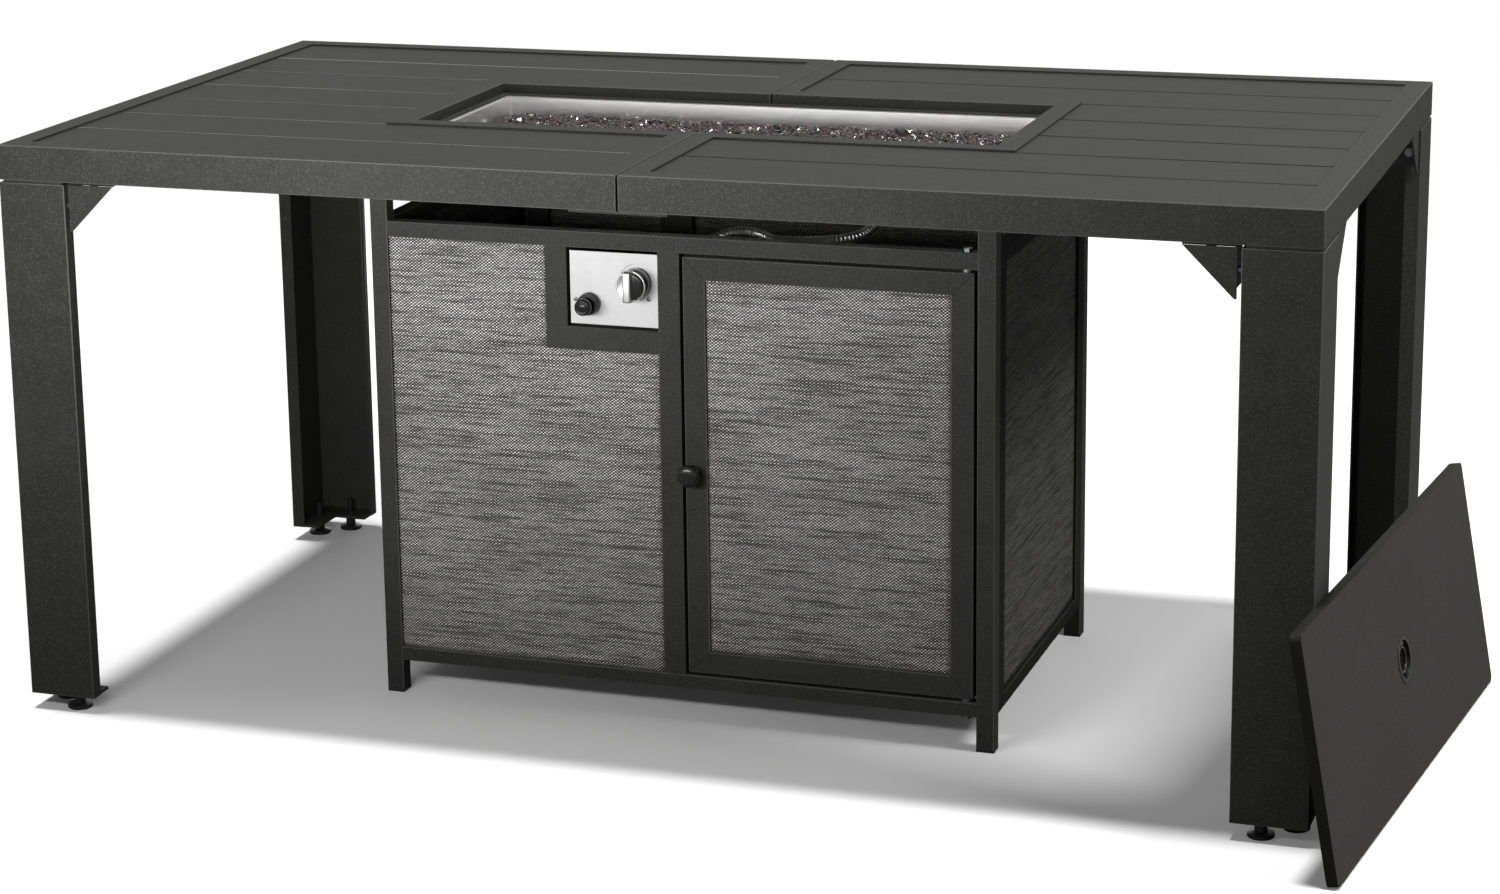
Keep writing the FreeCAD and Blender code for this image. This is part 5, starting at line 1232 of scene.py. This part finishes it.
@dataclass
class CoatedSteel:
    """The top, the legs, the cabinet's bars, the door's frame and the lid, with soft corners."""

    table_nodes: tuple[str, ...] = (
        "top_frame_left", "top_frame_right", "top_panel_left", "top_panel_right", "leg_front_left",
        "leg_front_right", "leg_rear_left", "leg_rear_right", "gussets", "cabinet_posts", "front_top_rail",
        "front_bottom_rail", "front_mid_stile", "control_surround", "burner_collar",
    )
    side_nodes: tuple[str, ...] = ("left_panel_frame", "right_panel_frame")
    plain_nodes: tuple[str, ...] = ("top_stiffeners", "seam_plates", "rear_panel_frame", "valve_bracket")
    edge: float = 0.0012
    panel_edge: float = 0.0004
    lid_corner: float = 0.008
    gusset_shade_above: float = 0.6741
    groove_foot: float = 0.7160
    groove_reach: float = 0.36

    def build(self) -> None:
        """Softens and dresses the coated nodes, and dresses the plain ones as they are."""
        for node in self.table_nodes:
            piece = softened(node, self.panel_edge if node.startswith("top_panel") else self.edge)
            place(piece, Body.TABLE, COAT, Slot.COAT, [node])
            if node == "gussets":
                # The gussets' tops under the apron take painted shade.
                recoat(piece, RIM_SHADE_COAT, lambda polygon: polygon.center.z > self.gusset_shade_above)
            if node == "top_panel_left":
                # The grooves' rear walls on the left panel get a painted highlight.
                recoat(piece, GROOVE_HIGHLIGHT_COAT, self.catches_light)
        for node in self.side_nodes:
            # The side frames take the darker copy of the coat: painted shade.
            place(softened(node), Body.TABLE, SHADED_SIDE_COAT, Slot.COAT, [node])
        place(softened("door_frame"), Body.DOOR, DOOR_COAT, Slot.COAT, ["door_frame"])
        lid = softened("lid_panel", corner=self.lid_corner)
        self.shade_rim(place(lid, Body.LID, LID_REFLECTION_COAT, Slot.COAT, ["lid_panel"]))
        for node in self.plain_nodes:
            COAT.dress(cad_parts[node])
            LOG.info("node %s coated", node)

    def catches_light(self, polygon: Polygon) -> bool:
        """Whether a face of the left panel is a groove's rear wall, which takes a painted highlight."""
        _, y, z = polygon.center
        return polygon.normal.y < -0.3 and z > self.groove_foot and abs(y) < self.groove_reach

    def shade_rim(self, lid: Piece) -> None:
        """Gives the lid's folded rim a darker copy of the coat than its face: painted shade."""
        face = max(lid.data.polygons, key=lambda polygon: polygon.area).normal
        recoat(lid, RIM_SHADE_COAT, lambda polygon: abs(polygon.normal.dot(face)) < 0.5)


@dataclass(frozen=True)
class Cut:
    """One cut of sling cloth: where it is stretched, in millimetres."""

    name: str
    node: str
    carrier: str
    body: Body
    facing: Facing
    plane: float
    low: tuple[float, float]
    high: tuple[float, float]
    notch: Optional[tuple[float, float]] = None

    @property
    def flat(self) -> tuple[float, float]:
        """Width and height of the cut, in metres."""
        return metres(self.high[0] - self.low[0], self.high[1] - self.low[1])

    @property
    def area(self) -> float:
        """Area of the cut, without its notch, in square metres.

        Returns:
            The area.
        """
        whole = self.flat[0] * self.flat[1]
        if self.notch is None:
            return whole
        return whole - (self.high[0] - self.notch[0]) * (self.high[1] - self.notch[1]) * 1e-6


@dataclass
class SlingPanels:
    """The stretched cloth of the cabinet's sides and door."""

    cuts: tuple[Cut, ...] = (
        Cut(
            "front_sling", "front_fabric", "control_surround_coated", Body.TABLE, Facing.FRONT, -235.4,
            (-373, 61), (-21.5, 590), (-166, 464),
        ),
        Cut(
            "door_sling", "door_fabric", "door_frame_coated", Body.DOOR, Facing.FRONT, -235.4,
            (38.5, 93), (341, 558),
        ),
        Cut(
            "left_sling", "left_panel_fabric", "left_panel_frame_coated", Body.TABLE, Facing.LEFT, -390.4,
            (-190, 61), (190, 590),
        ),
        Cut(
            "right_sling", "right_panel_fabric", "right_panel_frame_coated", Body.TABLE, Facing.RIGHT, 390.4,
            (-190, 61), (190, 590),
        ),
        Cut(
            "rear_sling_left", "rear_panel_fabric", "rear_panel_frame", Body.TABLE, Facing.REAR, 235.4,
            (-345, 61), (-182, 590),
        ),
        Cut(
            "rear_sling_right", "rear_panel_fabric", "rear_panel_frame", Body.TABLE, Facing.REAR, 235.4,
            (-138, 61), (345, 590),
        ),
    )
    thickness: float = 0.0009
    cell: float = 7.5
    ripple: float = 0.25
    taut: float = 40.0

    def lines(self, low: float, high: float, stop: Optional[float]) -> list[float]:
        """Grid lines from low to high, with one on the stop where there is one.

        Args:
            low: The first line, in millimetres.
            high: The last line.
            stop: A line between, or None.

        Returns:
            The lines' places.
        """
        ends = [low] + ([stop] if stop is not None else []) + [high]
        found = [low]
        for start, end in zip(ends, ends[1:]):
            steps = max(1, round((end - start) / self.cell))
            found += [start + (end - start) * (i + 1) / steps for i in range(steps)]
        return found

    def sheet(self, cut: Cut) -> Piece:
        """A sheet with its UV in metres and the faint ripple of stretched cloth.

        Args:
            cut: The cut.

        Returns:
            The sheet, without its thickness.
        """
        work = bmesh.new()
        uv = work.loops.layers.uv.new(CLOTH_UV)
        stops = cut.notch or (None, None)
        columns, rows = (self.lines(*ends) for ends in zip(cut.low, cut.high, stops))
        out = Vector((*cut.facing.value, 0.0))
        grid: dict[tuple[int, int], bmesh.types.BMVert] = {}

        def corner(i: int, j: int) -> bmesh.types.BMVert:
            """The vertex of a grid crossing, made once.

            Args:
                i: The column.
                j: The row.

            Returns:
                The vertex.
            """
            if (i, j) not in grid:
                across, up = columns[i], rows[j]
                edge = min(across - cut.low[0], cut.high[0] - across, up - cut.low[1], cut.high[1] - up)
                wave = math.sin(across / 37) * math.sin(up / 53) - 0.4
                ripple = self.ripple * min(edge, self.taut) / self.taut * wave
                depth = cut.plane + ripple * (out.x + out.y)
                spot = (across, depth, up) if out.y else (depth, across, up)
                grid[i, j] = work.verts.new(Vector(spot) / 1000)
            return grid[i, j]

        for i in range(len(columns) - 1):
            for j in range(len(rows) - 1):
                if cut.notch and columns[i] >= cut.notch[0] - 0.01 and rows[j] >= cut.notch[1] - 0.01:
                    continue
                spots = ((i, j), (i + 1, j), (i + 1, j + 1), (i, j + 1))
                face = work.faces.new([corner(*spot) for spot in spots])
                face.smooth = True
                for loop, (a, b) in zip(face.loops, spots):
                    loop[uv].uv = (columns[a] / 1000, rows[b] / 1000)
        work.normal_update()
        if sum((face.normal for face in work.faces), Vector()).dot(out) < 0:
            bmesh.ops.reverse_faces(work, faces=work.faces)
        return new_piece(cut.name, work)

    def build(self) -> None:
        """Builds and dresses each sheet, and hangs it on its body."""
        for cut in self.cuts:
            piece = self.sheet(cut)
            wall = piece.modifiers.new("cloth_wall", "SOLIDIFY")
            wall.thickness = self.thickness
            wall.offset = 0.0
            cloth = SLING if cut.facing is Facing.FRONT else SHADED_SLING
            place(piece, cut.body, cloth, Slot.CLOTH, [cut.node])


@dataclass
class Burner:
    """The pan, its tube and the bed of fire glass."""

    reach: tuple[float, float] = (354.0, 126.0)
    foot: float = 646.5
    level: float = 686.0
    hump: float = 1.5
    rim: float = 14.0
    cells: tuple[int, int] = (118, 42)
    clear: tuple[float, float, float, float] = (43.0, 81.0, -48.0, -24.0)

    def height(self, across: float, deep: float) -> float:
        """Height of the bed at a spot, in millimetres: rolling, and lower at the walls.

        Args:
            across: The spot's X, in millimetres.
            deep: The spot's Y.

        Returns:
            The height there.
        """
        rolling = math.sin(across / 31 + 1.3) * math.cos(deep / 23) + 0.6 * math.sin(across / 13 - deep / 17)
        wall = min(self.reach[0] - abs(across), self.reach[1] - abs(deep), self.rim) / self.rim
        return self.level - 4.0 + self.hump * rolling - 5.0 * (1.0 - wall)

    def near_sensor(self, across: float, deep: float) -> bool:
        """Whether a spot lies in the hollow round the ignition bracket."""
        low, high, front, back = self.clear
        return low < across < high and front < deep < back

    def bed(self, name: str, closed: bool) -> Piece:
        """The bed's top, with its sides and its underside where it is closed.

        Args:
            name: The piece's name.
            closed: Whether the bed has sides and an underside.

        Returns:
            The new piece.
        """
        work = bmesh.new()
        columns, rows = self.cells
        grid = []
        for i in range(columns + 1):
            line = []
            for j in range(rows + 1):
                across = self.reach[0] * (2 * i / columns - 1)
                deep = self.reach[1] * (2 * j / rows - 1)
                up = self.height(across, deep)
                line.append(work.verts.new(Vector((across, deep, up)) / 1000))
            grid.append(line)
        for i in range(columns):
            for j in range(rows):
                face = work.faces.new((grid[i][j], grid[i + 1][j], grid[i + 1][j + 1], grid[i][j + 1]))
                middle = face.calc_center_median() * 1000
                if not closed and self.near_sensor(middle.x, middle.y):
                    work.faces.remove(face)
        if closed:
            rim = [edge for edge in work.edges if edge.is_boundary]
            made = bmesh.ops.extrude_edge_only(work, edges=rim)["geom"]
            for part in made:
                if isinstance(part, bmesh.types.BMVert):
                    part.co.z = self.foot / 1000
            bmesh.ops.holes_fill(work, edges=[edge for edge in work.edges if edge.is_boundary], sides=0)
            bmesh.ops.recalc_face_normals(work, faces=work.faces)
        return new_piece(name, work)

    def build(self) -> None:
        """Builds the glass and dresses the metal."""
        place(self.bed("glass_bed", True), Body.TABLE, GLASS, Slot.GLASS, ["fire_glass"])
        strewn = self.bed("glass_chips_strewn", False)
        CHIPS.run(strewn, GLASS, Density=26000.0, Chip=0.0058)
        place(strewn, Body.TABLE, GLASS, Slot.GLASS, ["fire_glass"])
        STAINLESS.dress(*(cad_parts[n] for n in ("burner_pan", "burner_tube", "ignition_bracket")))
        BRASS.dress(*(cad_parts[n] for n in ("gas_valve", "valve_spindle", "air_mixer")))
        LOG.info("burner dressed")


@dataclass
class Controls:
    """The control plate, the gas knob, the igniter and the door's knob."""

    knob: Point = metres(-48, -238, 551)
    knob_gap: float = 0.0045
    igniter: Point = metres(-109, -238, 522)
    button: Point = metres(-109, -249.5, 522)
    handle: Point = metres(20, -240, 320)
    ahead: Point = (0.0, -1.0, 0.0)
    plate_edge: float = 0.0004
    skirt: Profile = ((17.5, 0.4), (18.7, 0.4), (19.0, 1.0), (18.9, 8.0), (18.5, 15.2), (17.9, 16.2))
    face: Profile = (
        (18.0, 16.25), (18.8, 16.5), (19.0, 17.3), (18.7, 18.6), (18.0, 19.3), (17.3, 19.3), (16.8, 18.6),
        (6.0, 18.6),
    )
    bezel: Profile = ((17.6, 0.02), (17.8, 0.2), (17.6, 0.6), (16.6, 0.8), (8.0, 0.8))
    collar: Profile = (
        (13.9, 0.05), (14.0, 3.0), (13.7, 6.4), (12.9, 9.4), (11.8, 11.2), (10.6, 11.9), (9.6, 12.0),
    )
    cap: Profile = (
        (9.2, 0.2), (9.2, 9.0), (10.2, 9.7), (10.5, 11.2), (10.4, 14.4), (9.6, 16.4), (8.2, 17.4),
        (7.0, 17.5), (6.5, 16.9), (5.6, 16.9), (5.1, 17.6), (1.6, 17.8),
    )
    pull: Profile = (
        (9.4, 0.05), (9.4, 1.4), (8.6, 2.4), (6.4, 3.4), (5.4, 5.2), (5.2, 8.2), (6.0, 10.4), (8.6, 12.2),
        (12.0, 13.8), (13.6, 15.8), (14.0, 18.0), (13.5, 20.4), (11.8, 22.6), (8.8, 24.1), (4.8, 24.8),
        (1.2, 25.0),
    )
    head: Profile = ((2.6, 0.0), (2.6, 0.55), (2.35, 1.05), (1.75, 1.4), (0.95, 1.56))
    recess: float = 0.0007
    head_width: float = 0.005
    shank: float = 0.0022
    wedge: Point = (12.5, 13.0, 40.0)
    taper: float = 3.0
    wedge_shift: tuple[float, float] = (-1.8, -21.5)
    moon: tuple[float, float] = (16.6, 2.2)
    moon_seat: float = -23.2
    moon_gauge: float = 5.2
    dial: tuple[float, float, float] = (0.0225, math.radians(100), math.radians(120))
    dots: int = 15

    def turn(self, name: str, profile: Profile, start: Point, sides: int = 64) -> Piece:
        """A turned piece that points to the front."""
        return turned(name, profile, self.ahead, start, sides)

    def grip(self) -> Piece:
        """The knob's upright wedge, with rounded edges.

        Returns:
            The wedge.
        """
        work = bmesh.new()
        bmesh.ops.create_cube(work, size=1.0)
        for vertex in work.verts:
            near = 0.5 - vertex.co.y
            vertex.co.x = vertex.co.x * (self.wedge[0] - self.taper * near) + self.wedge_shift[0]
            vertex.co.z *= self.wedge[2] - self.taper * near
            vertex.co.y = -near * self.wedge[1] + self.wedge_shift[1]
        rounded(work, list(work.edges), 2.0, segments=4, clamp=True)
        return self.on_knob("knob_grip", work)

    def painted_shade_moon(self) -> Piece:
        """The black half-moon beside the wedge, which stands for the shade on the knob's right side: painted
        shade.

        Returns:
            The half-moon.
        """
        work = bmesh.new()
        reach, chord = self.moon
        swing = math.acos(chord / reach)
        turns = [swing * (i / 12 - 1) for i in range(25)]
        spots = [(reach * math.cos(turn), self.moon_seat, reach * math.sin(turn)) for turn in turns]
        rim = [work.verts.new(spot) for spot in spots]
        made = bmesh.ops.extrude_face_region(work, geom=[work.faces.new(rim)])["geom"]
        front = [part for part in made if isinstance(part, bmesh.types.BMVert)]
        bmesh.ops.translate(work, verts=front, vec=(0.0, -self.moon_gauge, 0.0))
        bmesh.ops.recalc_face_normals(work, faces=work.faces)
        edges = [edge for edge in work.edges if all(corner in front for corner in edge.verts)]
        rounded(work, edges, 1.4, segments=3, clamp=True)
        return self.on_knob("knob_inlay", work)

    def on_knob(self, name: str, work: Work) -> Piece:
        """Moves a part drawn round the knob's axis, in millimetres, onto the knob.

        Args:
            name: The part's name.
            work: Its mesh.

        Returns:
            The new piece.
        """
        for face in work.faces:
            face.smooth = True
        for vertex in work.verts:
            vertex.co = Vector(self.knob) + vertex.co / 1000
        bmesh.ops.recalc_face_normals(work, faces=work.faces)
        return new_piece(name, work)

    def fastener(self) -> Piece:
        """A small domed head with a cross recess, as the mould for all of them.

        Returns:
            The mould, at the origin.
        """
        work = bmesh.new()
        sides = 16
        made = []
        for radius, height in self.head:
            made.append([
                work.verts.new(Vector((radius * math.cos(a), radius * math.sin(a), height)) / 1000)
                for a in (2 * math.pi * (i + 0.5) / sides for i in range(sides))
            ])
        for low, high in zip(made, made[1:]):
            for i in range(sides):
                work.faces.new((low[i], low[(i + 1) % sides], high[(i + 1) % sides], high[i]))
        work.faces.new(list(reversed(made[0])))
        pit = []
        for i, vertex in enumerate(made[-1]):
            inwards = 0.35 if i % 4 in (1, 2) else 1.0
            pit.append(work.verts.new(vertex.co * inwards))
            pit[-1].co.z = self.recess
        for i in range(sides):
            work.faces.new((made[-1][i], made[-1][(i + 1) % sides], pit[(i + 1) % sides], pit[i]))
        work.faces.new(pit)
        bmesh.ops.recalc_face_normals(work, faces=work.faces)
        return new_piece("fastener_mould", work)

    def screw_seats(self) -> tuple[list[Point], list[Point]]:
        """Where each small CAD screw's head sits, and the way that it faces: to the front or down.

        Returns:
            The seats and the facings, screw by screw.
        """
        work = bmesh.new()
        work.from_mesh(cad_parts["small_screws"].data)
        bmesh.ops.remove_doubles(work, verts=work.verts, dist=1e-6)
        left = set(work.verts)
        seats, facings = [], []
        while left:
            island, queue = set(), [left.pop()]
            while queue:
                vertex = queue.pop()
                island.add(vertex)
                near = {link.other_vert(vertex) for link in vertex.link_edges} & left
                left -= near
                queue += near
            spots = [vertex.co for vertex in island]
            low, high = (Vector([pick(spot[k] for spot in spots) for k in range(3)]) for pick in (min, max))
            axis = 1 if min(high.x - low.x, high.z - low.z) > self.head_width else 2
            seat = (low + high) / 2
            aside = [(spot - seat).length_squared - (spot - seat)[axis] ** 2 for spot in spots]
            seat[axis] = max(spot[axis] for spot, away in zip(spots, aside) if away > self.shank ** 2)
            seats.append(tuple(seat))
            facings.append(tuple(-1.0 if k == axis else 0.0 for k in range(3)))
        work.free()
        return seats, facings

    def fasteners(self) -> None:
        """Puts a head where each small CAD screw has its own."""
        seats, facings = self.screw_seats()
        mesh = bpy.data.meshes.new("small_screw_heads")
        mesh.from_pydata(seats, [], [])
        kept = mesh.attributes.new("facing", "FLOAT_VECTOR", "POINT")
        for item, facing in zip(kept.data, facings):
            item.vector = facing
        heads = added("small_screw_heads", mesh)
        mould = self.fastener()
        FASTENERS.run(heads, ZINC, Mould=mould)
        bpy.data.objects.remove(mould)
        place(heads, Body.TABLE, ZINC, Slot.ZINC, ["small_screws"])

    def ticks(self) -> None:
        """Dots that grow along the knob's turn."""
        work = bmesh.new()
        work.verts.new((0.0, 0.0, 0.0))
        dots = new_piece("dial_ticks", work)
        reach, start, sweep = self.dial
        middle = (self.knob[0], -0.2381, self.knob[2])
        TICKS.run(dots, GLOSS_BLACK, Reach=reach, Start=start, Sweep=sweep, Dots=self.dots, Middle=middle)
        place(dots, Body.TABLE, GLOSS_BLACK, Slot.PLASTIC)

    def build(self) -> None:
        """Builds the controls."""
        plate = softened("control_plate", self.plate_edge)
        place(plate, Body.TABLE, PLATE, Slot.PLATE, ["control_plate"])
        seat = (self.knob[0], self.knob[1] - self.knob_gap, self.knob[2])
        skirt = self.turn("knob_skirt", self.skirt, seat)
        place(skirt, Body.KNOB, GLOSS_BLACK, Slot.PLASTIC, ["gas_knob"])
        place(self.turn("knob_face", self.face, seat), Body.KNOB, SILVER, Slot.PLATE, ["gas_knob"])
        place(self.turn("knob_bezel", self.bezel, self.knob), Body.TABLE, GLOSS_BLACK, Slot.PLASTIC)
        place(self.grip(), Body.KNOB, SILVER, Slot.PLATE, ["gas_knob"])
        # A dark half-moon where the knob's right side is in shade: painted shade.
        place(self.painted_shade_moon(), Body.KNOB, GLOSS_BLACK, Slot.PLASTIC)
        collar = self.turn("igniter_collar", self.collar, self.igniter, sides=48)
        place(collar, Body.TABLE, GLOSS_BLACK, Slot.PLASTIC)
        cap = self.turn("igniter_cap", self.cap, self.button, sides=48)
        place(cap, Body.BUTTON, GLOSS_BLACK, Slot.PLASTIC, ["igniter_button"])
        pull = self.turn("door_pull", self.pull, self.handle)
        place(pull, Body.DOOR, GLOSS_BLACK, Slot.PLASTIC, ["door_knob"])
        self.fasteners()
        self.ticks()


@dataclass
class Fittings:
    """Everything whose CAD shape stays and only needs its finish."""

    black: tuple[str, ...] = ("post_plugs", "catch_magnet", "igniter_body", "lid_cup")
    zinc: tuple[str, ...] = ("hex_bolts", "hex_nuts", "pivot_pins", "catch_striker")

    def build(self) -> None:
        """Dresses the nodes."""
        feet = [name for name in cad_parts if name.startswith("foot_")]
        for name in (*self.black, *feet):
            PLASTIC.dress(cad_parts[name])
        GLOSS_BLACK.dress(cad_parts["lid_ring"])
        ZINC.dress(*(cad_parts[name] for name in self.zinc))
        LOG.info("%d nodes dressed", len(self.black) + len(feet) + len(self.zinc))


def main() -> None:
    """Builds the stage and the sub-assemblies in order."""
    logging.basicConfig(level=logging.INFO)
    Studio().build()
    for part in (GasTrain(), CoatedSteel(), SlingPanels(), Burner(), Controls(), Fittings()):
        LOG.info("building %s", type(part).__name__)
        part.build()


if __name__ == "__main__":
    main()
